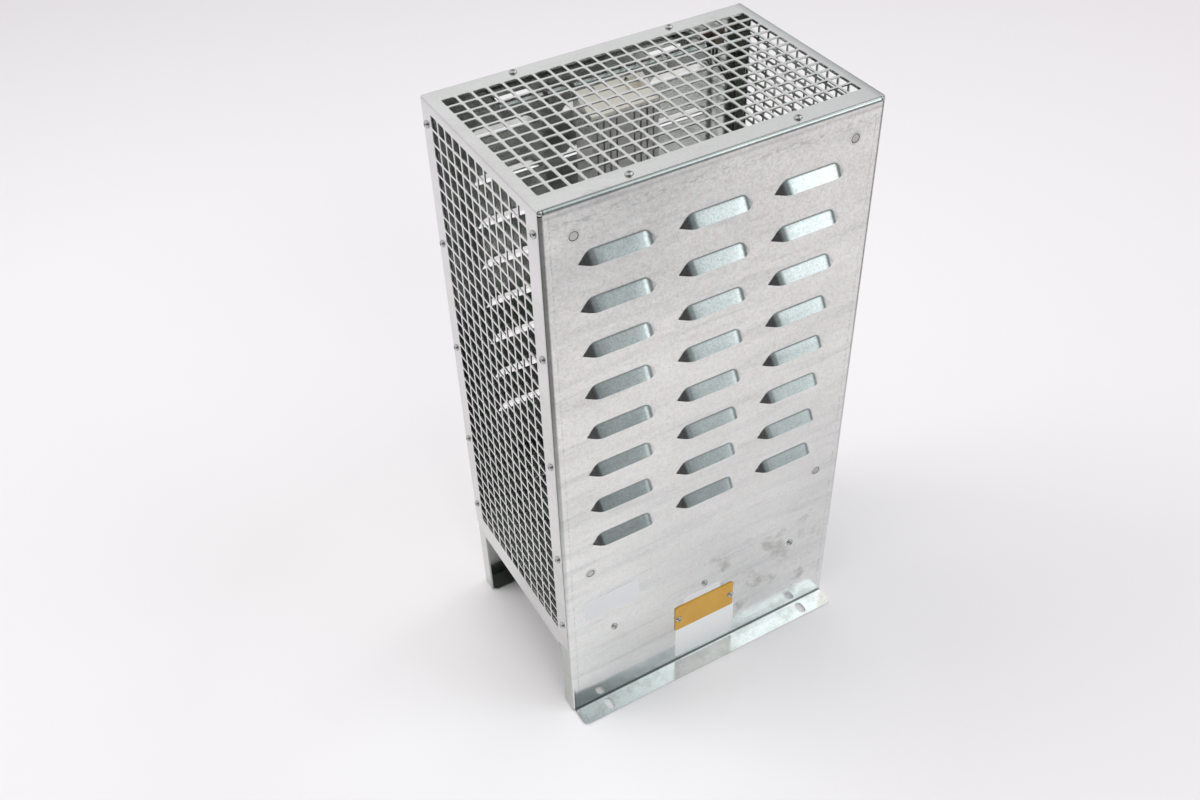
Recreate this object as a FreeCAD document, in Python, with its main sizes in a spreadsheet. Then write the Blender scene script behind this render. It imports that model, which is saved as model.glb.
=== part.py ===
import FreeCAD, Part
import math
import os

from FreeCAD import Placement, Rotation, Vector

# Braking resistor in a louvred zinc-coated sheet steel box.
# Millimetres. The origin is the middle of the footprint on the floor, +X is right,
# -Y is the louvred front with the outward foot, +Z is up.
# Depths inside the box are counted from the outer face of the front panel.

doc = FreeCAD.newDocument("braking_resistor")
sheet = doc.addObject("Spreadsheet::Sheet", "Dims")

DIMENSIONS = [
    ("box_width", 268.0, "outside of the two cover sides"),
    ("box_depth", 175.0, "outer face of front panel to outer face of rear panel"),
    ("box_height", 514.0, "floor to top of cover"),
    ("steel", 1.5, "sheet thickness of panels, shelf and rails"),
    ("cover_steel", 1.0, "sheet thickness of the cover"),
    ("bend_inside", 0.6, "inside radius of the panel bends"),
    ("return_depth", 15.0, "depth of the return flanges behind a panel face"),
    ("relief", 1.5, "open gap between neighbouring flanges at a corner"),
    ("leg_clearance", 0.8, "return flange bottom edge above the floor"),
    ("foot_reach", 18.0, "foot flange width beyond its panel face"),
    ("foot_inset", 2.5, "foot flange end in from the cover side"),
    ("foot_corner", 4.0, "corner radius of the foot flanges"),
    ("slot_inset", 31.5, "slot middle in from the outside of the cover"),
    ("slot_offset", 9.5, "slot centre from its panel face"),
    ("slot_length", 12.0, "mounting slot length, end to end"),
    ("slot_width", 7.0, "mounting slot width"),
    ("cover_inset", 2.0, "cover edge behind the panel face"),
    ("cover_bend_inside", 1.0, "inside radius of the two cover bends"),
    ("cover_bottom", 77.5, "lower edge of the cover sides above the floor"),
    ("cover_corner_rise", 8.5, "height of the sloped lower corner of a side"),
    ("cover_corner_run", 15.0, "length of the sloped lower corner of a side"),
    ("hole_side", 10.0, "side of a square hole of the grille"),
    ("web", 2.0, "strip between two holes of the grille"),
    ("top_margin_x", 9.0, "least plain margin of the top grille, left and right"),
    ("grille_margin_y", 16.5, "least plain margin of every grille, front and back"),
    ("side_margin_top", 8.5, "plain margin above the side grilles"),
    ("side_margin_bottom", 22.0, "least plain margin below the side grilles"),
    ("louvre_rows", 8, "rows of louvres in a panel"),
    ("louvre_columns", 3, "columns of louvres in a panel"),
    ("louvre_pitch_x", 76.0, "louvre column pitch"),
    ("louvre_pitch_z", 37.7, "louvre row pitch"),
    ("louvre_top", 48.3, "first louvre opening below the top of the cover"),
    ("louvre_aside", 2.5, "louvres aside of the middle, to the left of who faces the panel"),
    ("louvre_base", 60.5, "louvre length at its cut edge"),
    ("louvre_crest", 44.8, "louvre length at its upper bend"),
    ("louvre_lip", 43.6, "louvre length at its free lip"),
    ("louvre_rise", 10.0, "louvre height from cut edge to upper bend"),
    ("louvre_reach", 6.5, "louvre lip in front of the panel face"),
    ("louvre_wall", 1.2, "wall of the drawn louvre hood"),
    ("rear_slot_length", 30.0, "upper slots of the rear panel"),
    ("rear_slot_height", 4.5, "upper slots of the rear panel"),
    ("rear_slot_drop", 21.0, "upper slots below the top of the cover"),
    ("rear_slot_inset", 69.5, "upper slot middle in from the outside of the cover"),
    ("screw_shank", 3.2, "cover and front screws, shank diameter"),
    ("screw_head", 6.0, "cover and front screws, head diameter"),
    ("screw_head_height", 1.8, "cover and front screws, head height"),
    ("screw_length", 7.0, "cover and front screws, shank length"),
    ("screw_clearance", 0.3, "hole radius beyond the shank radius"),
    ("screw_margin", 7.5, "cover screw row from the panel face"),
    ("side_screw_top", 20.0, "first side screw below the top of the cover"),
    ("side_screw_pitch", 100.5, "upper side screw pitch"),
    ("side_screw_last", 34.5, "last side screw above the lower edge of the cover"),
    ("top_screw_inset", 69.0, "top screws in from the outside of the cover"),
    ("shelf_level", 98.0, "upper face of the shelf above the floor"),
    ("shelf_drop", 16.0, "down-turned shelf flanges"),
    ("shelf_upturn", 8.5, "up-turned side edges of the shelf"),
    ("shelf_side_gap", 0.3, "shelf edge beside the return flanges"),
    ("shelf_screw_drop", 8.0, "shelf screws below the upper face of the shelf"),
    ("shelf_screw_inset", 44.0, "outer shelf screws in from the outside of the cover"),
    ("plate_width", 60.0, "bare plate on the front"),
    ("plate_height", 29.5, "bare plate on the front"),
    ("plate_thickness", 1.2, "bare plate on the front"),
    ("plate_centre", 59.5, "plate centre above the floor"),
    ("plate_screw_pitch", 54.0, "distance between the two plate screws"),
    ("rail_inset", 48.0, "ends of the two bridge rails in from the outside of the cover"),
    ("rail_height", 14.0, "height of the rail face"),
    ("rail_standoff", 28.0, "rail face in front of the rear panel face"),
    ("rail_hem", 6.0, "depth of the folded rail edges"),
    ("rail_bend_inside", 1.5, "inside radius of the rail bends"),
    ("rail_notch", 4.0, "width of the notches in the upper rail"),
    ("rail_notch_outer", 50.0, "outer notches from the middle"),
    ("rail_notch_drop", 10.0, "depth of the notches below the rail top"),
    ("upper_rail_drop", 11.0, "upper rail top below the top of the cover"),
    ("lower_rail_level", 135.0, "lower rail top above the floor"),
    ("foot_tab", 10.0, "rail feet on the rear panel"),
    ("body_width", 56.0, "resistor housing"),
    ("body_depth", 25.0, "resistor housing with the bracket behind it"),
    ("body_gap_top", 17.0, "housing top below the top of the upper rail"),
    ("body_gap_bottom", 20.0, "housing bottom above the shelf"),
    ("groove_pitch", 5.4, "grooves of the housing face"),
    ("groove_land", 13.4, "plain land between the two groove groups"),
    ("groove_width", 1.4, "grooves of the housing face"),
    ("groove_depth", 2.4, "grooves of the housing face"),
    ("grooves_per_side", 4, "grooves on each side of the land"),
    ("chamber_width", 42.0, "long chamber in the housing"),
    ("chamber_depth", 13.0, "long chamber in the housing"),
    ("former_width", 34.0, "ceramic former"),
    ("former_depth", 6.0, "ceramic former"),
    ("winding_wall", 1.2, "resistance wire layer on the former"),
    ("chamber_end", 3.0, "filling below the ends of the housing"),
    ("cap_low", 2.2, "front height of the ceramic end caps"),
    ("cap_high", 12.0, "rear height of the ceramic end caps"),
    ("cap_recess", 11.0, "side of the filling recess in the upper cap"),
    ("cap_bottom", 8.0, "height of the lower end cap"),
    ("bracket_sheet", 1.0, "sheet of the housing brackets"),
    ("bracket_wrap", 14.0, "length of the bracket on the housing"),
    ("fit_gap", 0.3, "running gap between curved faces and around parts"),
    ("head_sides", 10, "flats of a screw head, bushing or washer"),
    ("shank_sides", 6, "flats of a screw shank"),
    ("hole_sides", 8, "flats of a small hole or a wire"),
    ("small_shank", 2.8, "small screws, shank diameter"),
    ("small_head", 5.4, "small screws, head diameter"),
    ("small_head_height", 1.9, "small screws, head height"),
    ("small_length", 5.5, "small screws, shank length"),
    ("switch_inset", 26.0, "thermal switch in from the outside of the cover"),
    ("switch_drop", 22.0, "thermal switch below the top of the cover"),
    ("switch_diameter", 12.0, "thermal switch cap"),
    ("switch_plate_width", 22.0, "thermal switch flange"),
    ("switch_plate_height", 13.0, "thermal switch flange"),
    ("switch_plate_sheet", 1.2, "thermal switch flange"),
    ("switch_reach", 7.5, "thermal switch cap in front of its flange"),
    ("switch_hole_pitch", 16.5, "thermal switch flange holes"),
    ("terminal_width", 60.0, "ceramic terminal block"),
    ("terminal_depth", 22.0, "ceramic terminal block"),
    ("terminal_height", 18.0, "ceramic terminal block"),
    ("terminal_poles", 4, "poles of the terminal block"),
    ("terminal_pole_pitch", 14.0, "pole pitch of the terminal block"),
    ("terminal_setback", 60.0, "terminal block middle behind the front face"),
    ("bracket_drop", 34.0, "terminal carrier below the shelf"),
    ("grommet_bore", 8.0, "wire bushing in the shelf"),
    ("grommet_wall", 1.5, "wire bushing in the shelf"),
    ("grommet_flange", 2.5, "flange of the wire bushing"),
    ("thermal_entry", 18.0, "thermal lead bushing in front of the rear panel face"),
    ("thermal_aside", 11.0, "thermal lead bushing outward of the switch"),
    ("earth_diameter", 6.0, "earth stud"),
    ("earth_length", 22.0, "earth stud below the shelf"),
    ("earth_inset", 39.0, "earth stud in from the outside of the cover"),
    ("lead_diameter", 3.6, "resistor lead over its sleeve"),
    ("thermal_diameter", 2.2, "thermal switch lead"),
    ("clamp_bore", 4.2, "wire bore of the terminal clamps"),
    ("clamp_side", 6.4, "outside of the terminal clamps"),
    ("washer_thickness", 1.2, "earth washer"),
    ("washer_diameter", 14.0, "earth washer"),
    ("nut_width", 10.0, "earth nut across flats"),
    ("nut_height", 5.0, "earth nut"),
]

# Positions that follow from the driving dimensions.
DERIVED = [
    ("bend_outside", "bend_inside + steel"),
    ("half_width", "box_width / 2"),
    ("slot_x", "half_width - slot_inset"),
    ("rear_slot_x", "half_width - rear_slot_inset"),
    ("top_screw_x", "half_width - top_screw_inset"),
    ("shelf_screw_x", "half_width - shelf_screw_inset"),
    ("switch_x", "half_width - switch_inset"),
    ("thermal_x", "switch_x + thermal_aside"),
    ("earth_x", "half_width - earth_inset"),
    ("rail_half", "half_width - rail_inset"),
    ("inner_half", "half_width - cover_steel"),
    ("front_y", "(foot_reach - box_depth - louvre_reach) / 2"),
    ("rear_y", "front_y + box_depth"),
    ("panel_top", "box_height - cover_steel"),
    ("shank_hole", "screw_shank / 2 + screw_clearance"),
    ("small_hole", "small_shank / 2 + screw_clearance"),
    ("shelf_under", "shelf_level - steel"),
    ("rail_face_y", "rear_y - rail_standoff"),
    ("upper_rail_top", "box_height - upper_rail_drop"),
    ("body_top", "upper_rail_top - body_gap_top"),
    ("body_bottom", "shelf_level + body_gap_bottom"),
    ("body_length", "body_top - body_bottom"),
    ("body_front_y", "rail_face_y - body_depth"),
    ("body_rear_y", "rail_face_y - bracket_sheet"),
    ("carrier_level", "shelf_under - bracket_drop"),
    ("pole_z", "carrier_level + terminal_height * 0.4"),
    ("terminal_y", "front_y + terminal_setback"),
]

for line, (alias, value, meaning) in enumerate(DIMENSIONS, start=1):
    sheet.set("A%d" % line, meaning)
    sheet.set("B%d" % line, str(value))
    sheet.setAlias("B%d" % line, alias)
for line, (alias, formula) in enumerate(DERIVED, start=len(DIMENSIONS) + 1):
    sheet.set("B%d" % line, "=" + formula)
    sheet.setAlias("B%d" % line, alias)
doc.recompute()


def dim(alias):
    """Read one driving dimension from the sheet."""
    return float(sheet.get(alias))


def count(alias):
    """Read one driving count from the sheet."""
    return int(round(float(sheet.get(alias))))


steel = dim("steel")
bend_outside = dim("bend_outside")
inner_half = dim("inner_half")
front_y = dim("front_y")
rear_y = dim("rear_y")
panel_top = dim("panel_top")
pitch = dim("hole_side") + dim("web")
shank_hole = dim("shank_hole")
small_hole = dim("small_hole")
rail_face_y = dim("rail_face_y")


def cells_that_fit(length):
    """Number of grille holes that fit in a length."""
    return int((length + dim("web") + 0.01) // pitch)


top_cells_x = cells_that_fit(dim("box_width") - 2 * dim("top_margin_x"))
cells_y = cells_that_fit(dim("box_depth") - 2 * dim("grille_margin_y"))
side_top = dim("box_height") - dim("side_margin_top")
side_cells_z = cells_that_fit(side_top - dim("cover_bottom") - dim("side_margin_bottom"))
top_grille_x = top_cells_x * pitch - dim("web")
grille_y = cells_y * pitch - dim("web")
side_grille_z = side_cells_z * pitch - dim("web")
grille_front_y = (front_y + rear_y) / 2 - grille_y / 2
side_grille_bottom = side_top - side_grille_z

nodes = []


def keep(obj, label):
    """Register a finished sub-part under its node name."""
    obj.Label = label
    nodes.append(obj)
    return obj


def feature(label, shape):
    """Store a computed shape as a sub-part."""
    obj = doc.addObject("Part::Feature", label)
    obj.Shape = shape
    obj.Placement = Placement()
    return keep(obj, label)


def block(x0, x1, y0, y1, z0, z1):
    """Solid box between two corners."""
    return Part.makeBox(x1 - x0, y1 - y0, z1 - z0, Vector(x0, y0, z0))


def prism(points, travel):
    """Solid swept from a closed polygon."""
    face = Part.Face(Part.makePolygon(points + [points[0]]))
    return face.extrude(travel)


def solid_from(outlines):
    """Solid with flat faces, each given by its corners as seen from outside."""
    faces = [Part.Face(Part.makePolygon(outline + [outline[0]])) for outline in outlines]
    solid = Part.Solid(Part.Shell(faces))
    if solid.Volume < 0:
        solid.reverse()
    return solid


def frustum(lower, upper):
    """Solid with flat sides between two level polygons, the lower one first."""
    outlines = [lower[::-1], upper]
    for index in range(len(lower)):
        after = (index + 1) % len(lower)
        outlines.append([lower[index], lower[after], upper[after], upper[index]])
    return solid_from(outlines)


def ring(radius, sides, z=0.0, x=0.0, y=0.0):
    """Corners of a regular polygon in a level plane."""
    angles = [2 * math.pi * (index + 0.5) / sides for index in range(sides)]
    return [Vector(x + radius * math.cos(angle), y + radius * math.sin(angle), z)
            for angle in angles]


def clear_ring(radius, sides):
    """Corners of a polygon whose flats stay outside a radius, as plane points."""
    corner = radius / math.cos(math.pi / sides)
    return [(point.x, point.y) for point in ring(corner, sides)]


def drill(radius, start, end):
    """Cutter of a small hole between two points, with flats instead of a round wall."""
    axis = end.sub(start)
    sides = count("hole_sides")
    corner = radius / math.cos(math.pi / sides)
    tool = prism(ring(corner, sides), Vector(0, 0, axis.Length))
    tool.Placement = Placement(start, Rotation(Vector(0, 0, 1), axis))
    return tool


def quarter_bend(centre, inside, outside, first, second, travel):
    """Quarter of a bent sheet: an arc of sheet from one direction to another."""
    middle = first.add(second).normalize()
    outer = Part.Arc(
        centre.add(first * outside),
        centre.add(middle * outside),
        centre.add(second * outside),
    ).toShape()
    inner = Part.Arc(
        centre.add(second * inside),
        centre.add(middle * inside),
        centre.add(first * inside),
    ).toShape()
    side = Part.makeLine(centre.add(second * outside), centre.add(second * inside))
    close = Part.makeLine(centre.add(first * inside), centre.add(first * outside))
    return Part.Face(Part.Wire([outer, side, inner, close])).extrude(travel)


def obround(x, y, length, width, z0, z1):
    """Slot cutter whose long axis runs along Y."""
    straight = length - width
    tool = block(x - width / 2, x + width / 2, y - straight / 2, y + straight / 2, z0, z1)
    for end in (-1, 1):
        centre = Vector(x, y + end * straight / 2, z0)
        tool = tool.fuse(Part.makeCylinder(width / 2, z1 - z0, centre))
    return tool


def foot_plate(reach, y_outer, y_inner, z_top):
    """Flat foot flange with its outer corners rounded."""
    low = min(y_outer, y_inner)
    high = max(y_outer, y_inner)
    plate = block(-reach, reach, low, high, 0, z_top)
    corners = []
    for edge in plate.Edges:
        middle = edge.CenterOfMass
        if abs(middle.y - y_outer) < 0.01 and abs(middle.z - z_top / 2) < 0.01:
            corners.append(edge)
    return plate.makeFillet(dim("foot_corner"), corners)


def louvre_hood(x, z, face, out):
    """Outer body of one louvre hood; out is the outward direction along Y."""
    base = dim("louvre_base") / 2
    crest = dim("louvre_crest") / 2
    lip = dim("louvre_lip") / 2
    root = face - out * steel / 2
    tip = face + out * dim("louvre_reach")
    top = z + dim("louvre_rise")
    return wedge(
        Vector(x - base, root, z), Vector(x + base, root, z),
        Vector(x - crest, root, top), Vector(x + crest, root, top),
        Vector(x - base, face, z), Vector(x + base, face, z),
        Vector(x - crest, face, top), Vector(x + crest, face, top),
        Vector(x - lip, tip, z), Vector(x + lip, tip, z),
    )


def wedge(a, b, c, d, e, f, g, h, i, j):
    """Hood body: a straight root a-b-c-d and e-f-g-h, then sloped faces to lip i-j."""
    rings = [
        [a, b, d, c],
        [a, e, i, j, f, b],
        [a, c, g, e],
        [b, f, h, d],
        [c, d, h, g],
        [g, h, j, i],
        [e, g, i],
        [f, j, h],
    ]
    return solid_from(rings)


def louvre_hollow(x, z, face, out):
    """Space inside one louvre hood, through the sheet behind it."""
    wall = dim("louvre_wall")
    base = dim("louvre_base") / 2 - 0.7 * wall
    crest = dim("louvre_crest") / 2 - 0.5 * wall
    lip = dim("louvre_lip") / 2 - 0.6 * wall
    inside = face - out * steel
    beyond = inside - out
    tip = face + out * (dim("louvre_reach") - 1.3 * wall)
    top = z + dim("louvre_rise") - 0.5 * wall
    return wedge(
        Vector(x - base, beyond, z), Vector(x + base, beyond, z),
        Vector(x - crest, beyond, top), Vector(x + crest, beyond, top),
        Vector(x - base, inside, z), Vector(x + base, inside, z),
        Vector(x - crest, inside, top), Vector(x + crest, inside, top),
        Vector(x - lip, tip, z), Vector(x + lip, tip, z),
    )


def louvre_places(out):
    """Centre of the cut edge of every louvre in a panel whose face looks along out."""
    first_z = dim("box_height") - dim("louvre_top")
    middle = (count("louvre_columns") - 1) / 2
    for row in range(count("louvre_rows")):
        for column in range(count("louvre_columns")):
            x = (column - middle) * dim("louvre_pitch_x") + out * dim("louvre_aside")
            yield x, first_z - row * dim("louvre_pitch_z")


def side_screw_levels():
    """Heights of the five screws in each row of a cover side."""
    first = dim("box_height") - dim("side_screw_top")
    levels = [first - step * dim("side_screw_pitch") for step in range(4)]
    return levels + [dim("cover_bottom") + dim("side_screw_last")]


def screw_rows_y():
    """Depths of the front and the rear row of cover screws."""
    return (front_y + dim("screw_margin"), rear_y - dim("screw_margin"))


def bent_panel(face, out, foot_out):
    """Flat panel with side, top and foot flanges bent from one sheet."""
    inward = Vector(0, -out, 0)
    inner = face - out * steel
    centre_y = face - out * bend_outside
    flat_half = inner_half - bend_outside
    flange_end = face - out * dim("return_depth")
    flat_top = panel_top - bend_outside
    top_half = flat_half - dim("relief")
    parts = [block(-flat_half, flat_half, min(face, inner), max(face, inner),
                   bend_outside, flat_top)]
    across = Vector(2 * top_half, 0, 0)
    parts.append(quarter_bend(Vector(-top_half, centre_y, flat_top), dim("bend_inside"),
                              bend_outside, Vector(0, out, 0), Vector(0, 0, 1), across))
    parts.append(block(-top_half, top_half, min(centre_y, flange_end),
                       max(centre_y, flange_end), panel_top - steel, panel_top))
    side_top_z = flat_top - dim("relief")
    up = Vector(0, 0, side_top_z - dim("leg_clearance"))
    for side in (-1, 1):
        corner = Vector(side * flat_half, centre_y, dim("leg_clearance"))
        parts.append(quarter_bend(corner, dim("bend_inside"), bend_outside,
                                  Vector(0, out, 0), Vector(side, 0, 0), up))
        x0 = side * (inner_half - steel)
        x1 = side * inner_half
        parts.append(block(min(x0, x1), max(x0, x1), min(centre_y, flange_end),
                           max(centre_y, flange_end), dim("leg_clearance"), side_top_z))
    # The foot bends away from the box in front and into the box behind.
    if foot_out == out:
        hinge_y = face + out * dim("bend_inside")
        start = Vector(0, -out, 0)
        foot_half = dim("half_width") - dim("foot_inset")
    else:
        hinge_y = inner - out * dim("bend_inside")
        start = Vector(0, out, 0)
        foot_half = inner_half - steel - dim("fit_gap")
    hinge = Vector(-top_half, hinge_y, bend_outside)
    parts.append(quarter_bend(hinge, dim("bend_inside"), bend_outside, start,
                              Vector(0, 0, -1), across))
    foot_edge = face + foot_out * dim("foot_reach")
    parts.append(foot_plate(foot_half, foot_edge, hinge_y, steel))
    panel = parts[0].fuse(parts[1:])
    panel = panel.fuse([louvre_hood(x, z, face, out) for x, z in louvre_places(out)])
    tools = [louvre_hollow(x, z, face, out) for x, z in louvre_places(out)]
    slot_y = face + foot_out * dim("slot_offset")
    for side in (-1, 1):
        tools.append(obround(side * dim("slot_x"), slot_y, dim("slot_length"),
                             dim("slot_width"), -1, steel + 1))
    screw_y = face - out * dim("screw_margin")
    for side in (-1, 1):
        for z in side_screw_levels():
            tools.append(drill(shank_hole, Vector(side * (inner_half - 2 * steel), screw_y, z),
                             Vector(side * (inner_half + steel), screw_y, z)))
        x = side * dim("top_screw_x")
        tools.append(drill(shank_hole, Vector(x, screw_y, panel_top - 2 * steel),
                         Vector(x, screw_y, panel_top + steel)))
    return panel, tools


def make_front_panel():
    """Louvred front: outward foot, three shelf screw holes, two plate screw holes."""
    panel, tools = bent_panel(front_y, -1, -1)
    places = [(step * dim("shelf_screw_x"), dim("shelf_level") - dim("shelf_screw_drop"))
              for step in (-1, 0, 1)]
    places += [(side * dim("plate_screw_pitch") / 2, dim("plate_centre")) for side in (-1, 1)]
    for x, z in places:
        tools.append(drill(shank_hole, Vector(x, front_y - 1, z),
                         Vector(x, front_y + 2 * steel, z)))
    feature("front_panel", panel.cut(tools).removeSplitter())


def make_rear_panel():
    """Louvred rear: inward foot and two long slots above the louvres."""
    panel, tools = bent_panel(rear_y, 1, -1)
    z = dim("box_height") - dim("rear_slot_drop")
    for side in (-1, 1):
        x = side * dim("rear_slot_x")
        half = dim("rear_slot_length") / 2
        tools.append(block(x - half, x + half, rear_y - 2 * steel, rear_y + 1,
                           z - dim("rear_slot_height") / 2, z + dim("rear_slot_height") / 2))
    feature("rear_panel", panel.cut(tools).removeSplitter())


def plane_of(body, role):
    """Base plane of a body by its role."""
    for item in body.Origin.OriginFeatures:
        if item.Role == role:
            return item
    return None


def sketch_on(body, name, role, offset, loops):
    """Closed polygons on a base plane, moved along its normal by a bound offset."""
    sketch = body.newObject("Sketcher::SketchObject", name)
    sketch.AttachmentSupport = (plane_of(body, role), "")
    sketch.MapMode = "FlatFace"
    sketch.setExpression("AttachmentOffset.Base.z", offset)
    for loop in loops:
        for start, end in zip(loop, loop[1:] + loop[:1]):
            sketch.addGeometry(Part.LineSegment(Vector(start[0], start[1], 0),
                                                Vector(end[0], end[1], 0)))
    return sketch


def holes_on(body, name, role, offset, radius, centres):
    """Equal small holes on a base plane."""
    corners = clear_ring(radius, count("hole_sides"))
    loops = [[(centre[0] + x, centre[1] + y) for x, y in corners] for centre in centres]
    return sketch_on(body, name, role, offset, loops)


def pad(body, sketch, length, backwards=False):
    """Add material from a sketch over a bound length."""
    step = body.newObject("PartDesign::Pad", sketch.Name + "Pad")
    step.Profile = sketch
    step.Reversed = backwards
    step.setExpression("Length", length)
    sketch.Visibility = False
    return step


def pocket(body, sketch, length, backwards=False):
    """Take material away from a sketch over a bound length."""
    step = body.newObject("PartDesign::Pocket", sketch.Name + "Pocket")
    step.Profile = sketch
    step.Reversed = backwards
    step.setExpression("Length", length)
    sketch.Visibility = False
    return step


def round_edges(body, base, radius, wanted):
    """Fillet the edges of a body step that a test picks out."""
    doc.recompute()
    names = []
    for index, edge in enumerate(base.Shape.Edges, start=1):
        if wanted(edge):
            names.append("Edge%d" % index)
    fillet = body.newObject("PartDesign::Fillet", base.Name + "Round")
    fillet.Base = (base, names)
    fillet.setExpression("Radius", radius)
    return fillet


def rectangle(x0, x1, y0, y1):
    """Corner list of a rectangle."""
    return [(x0, y0), (x1, y0), (x1, y1), (x0, y1)]


def new_body(name):
    """Empty body; its finished shape is the sub-part."""
    return doc.addObject("PartDesign::Body", name)


def runs_along(edge, axis, a, b, tolerance=0.01):
    """True for a straight edge along one axis through a point of the other two."""
    start = edge.Vertexes[0].Point
    end = edge.Vertexes[-1].Point
    others = [i for i in range(3) if i != axis]
    if abs(start[axis] - end[axis]) < tolerance:
        return False
    for point in (start, end):
        if abs(point[others[0]] - a) > tolerance or abs(point[others[1]] - b) > tolerance:
            return False
    return True


def make_cover():
    """One sheet bent over both sides and the top, with the three grille windows."""
    body = new_body("Cover")
    low = dim("cover_bottom")
    top = dim("box_height")
    outer = dim("half_width")
    profile = [(-outer, low), (-outer, top), (outer, top), (outer, low),
               (inner_half, low), (inner_half, panel_top), (-inner_half, panel_top),
               (-inner_half, low)]
    base = pad(body, sketch_on(body, "CoverProfile", "XZ_Plane",
                               "-Dims.front_y - Dims.cover_inset", [profile]),
               "Dims.box_depth - 2 * Dims.cover_inset", True)
    inner_bend = round_edges(body, base, "Dims.cover_bend_inside",
                             lambda edge: runs_along(edge, 1, inner_half, panel_top)
                             or runs_along(edge, 1, -inner_half, panel_top))
    round_edges(body, inner_bend, "Dims.cover_bend_inside + Dims.cover_steel",
                lambda edge: runs_along(edge, 1, outer, top)
                or runs_along(edge, 1, -outer, top))
    through = "Dims.box_width + 2 * Dims.steel"
    aside = "-Dims.half_width - Dims.steel"
    side_window = rectangle(grille_front_y, grille_front_y + grille_y,
                            side_grille_bottom, side_top)
    pocket(body, sketch_on(body, "SideWindows", "YZ_Plane", aside, [side_window]),
           through, True)
    front = front_y + dim("cover_inset")
    rear = rear_y - dim("cover_inset")
    run = dim("cover_corner_run")
    rise = dim("cover_corner_rise")
    corners = [[(front - 1, low - 1), (front + run, low - 1), (front + run, low + 0.3 * rise),
                (front, low + rise), (front - 1, low + rise)],
               [(rear + 1, low - 1), (rear - run, low - 1), (rear - run, low + 0.3 * rise),
                (rear, low + rise), (rear + 1, low + rise)]]
    pocket(body, sketch_on(body, "LowerCorners", "YZ_Plane", aside, corners), through, True)
    top_window = rectangle(-top_grille_x / 2, top_grille_x / 2,
                           grille_front_y, grille_front_y + grille_y)
    pocket(body, sketch_on(body, "TopWindow", "XY_Plane", "Dims.box_height + 1",
                           [top_window]), "Dims.steel + 2")
    places = [(y, z) for y in screw_rows_y() for z in side_screw_levels()]
    pocket(body, holes_on(body, "SideHoles", "YZ_Plane", aside, shank_hole, places),
           through, True)
    half = dim("top_screw_x")
    places = [(x, y) for x in (-half, half) for y in screw_rows_y()]
    pocket(body, holes_on(body, "TopHoles", "XY_Plane", "Dims.box_height + 1",
                            shank_hole, places), "Dims.steel + 2")
    keep(body, "cover_sheet")


def make_grilles():
    """Strips between the square holes: one layer each way, together one sheet thick."""
    half_sheet = dim("cover_steel") / 2
    web = dim("web")
    top = dim("box_height")
    outer = dim("half_width")
    end_y = grille_front_y + grille_y
    bars = []
    for index in range(1, top_cells_x):
        x = -top_grille_x / 2 + index * pitch - web
        bars.append(block(x, x + web, grille_front_y, end_y, top - half_sheet, top))
    for index in range(1, cells_y):
        y = grille_front_y + index * pitch - web
        bars.append(block(-top_grille_x / 2, top_grille_x / 2, y, y + web,
                          panel_top, top - half_sheet))
    feature("grille_top", Part.makeCompound(bars))
    for side, label in ((-1, "grille_left"), (1, "grille_right")):
        skin = sorted((side * outer, side * (outer - half_sheet)))
        core = sorted((side * (outer - half_sheet), side * inner_half))
        bars = []
        for index in range(1, cells_y):
            y = grille_front_y + index * pitch - web
            bars.append(block(skin[0], skin[1], y, y + web, side_grille_bottom, side_top))
        for index in range(1, side_cells_z):
            z = side_grille_bottom + index * pitch - web
            bars.append(block(core[0], core[1], grille_front_y, end_y, z, z + web))
        feature(label, Part.makeCompound(bars))


def pan_screw(seat, inward, shank, head, head_height, length):
    """Pan head screw: shank radius, head radius and sizes along its axis."""
    bevel = 0.3 * head_height
    sides = count("head_sides")
    bar = prism(ring(shank, count("shank_sides")), Vector(0, 0, length))
    rim = prism(ring(head, sides, bevel - head_height), Vector(0, 0, head_height - bevel))
    crown = frustum(ring(head - 2 * bevel, sides, -head_height),
                    ring(head, sides, bevel - head_height))
    screw = bar.fuse([rim, crown]).removeSplitter()
    screw.Placement = Placement(seat, Rotation(Vector(0, 0, 1), inward))
    return screw


def cover_screw(seat, inward):
    """Screw of the cover, the front and the plate."""
    return pan_screw(seat, inward, dim("screw_shank") / 2, dim("screw_head") / 2,
                     dim("screw_head_height"), dim("screw_length"))


def small_screw(seat, inward, length):
    """Screw of the inner fittings."""
    return pan_screw(seat, inward, dim("small_shank") / 2, dim("small_head") / 2,
                     dim("small_head_height"), length)


def make_cover_screws():
    """Ten screws in each cover side and four in the top."""
    for side, label in ((-1, "cover_screws_left"), (1, "cover_screws_right")):
        screws = [cover_screw(Vector(side * dim("half_width"), y, z), Vector(-side, 0, 0))
                  for y in screw_rows_y() for z in side_screw_levels()]
        feature(label, Part.makeCompound(screws))
    half = dim("top_screw_x")
    screws = [cover_screw(Vector(x, y, dim("box_height")), Vector(0, 0, -1))
              for x in (-half, half) for y in screw_rows_y()]
    feature("cover_screws_top", Part.makeCompound(screws))


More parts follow.
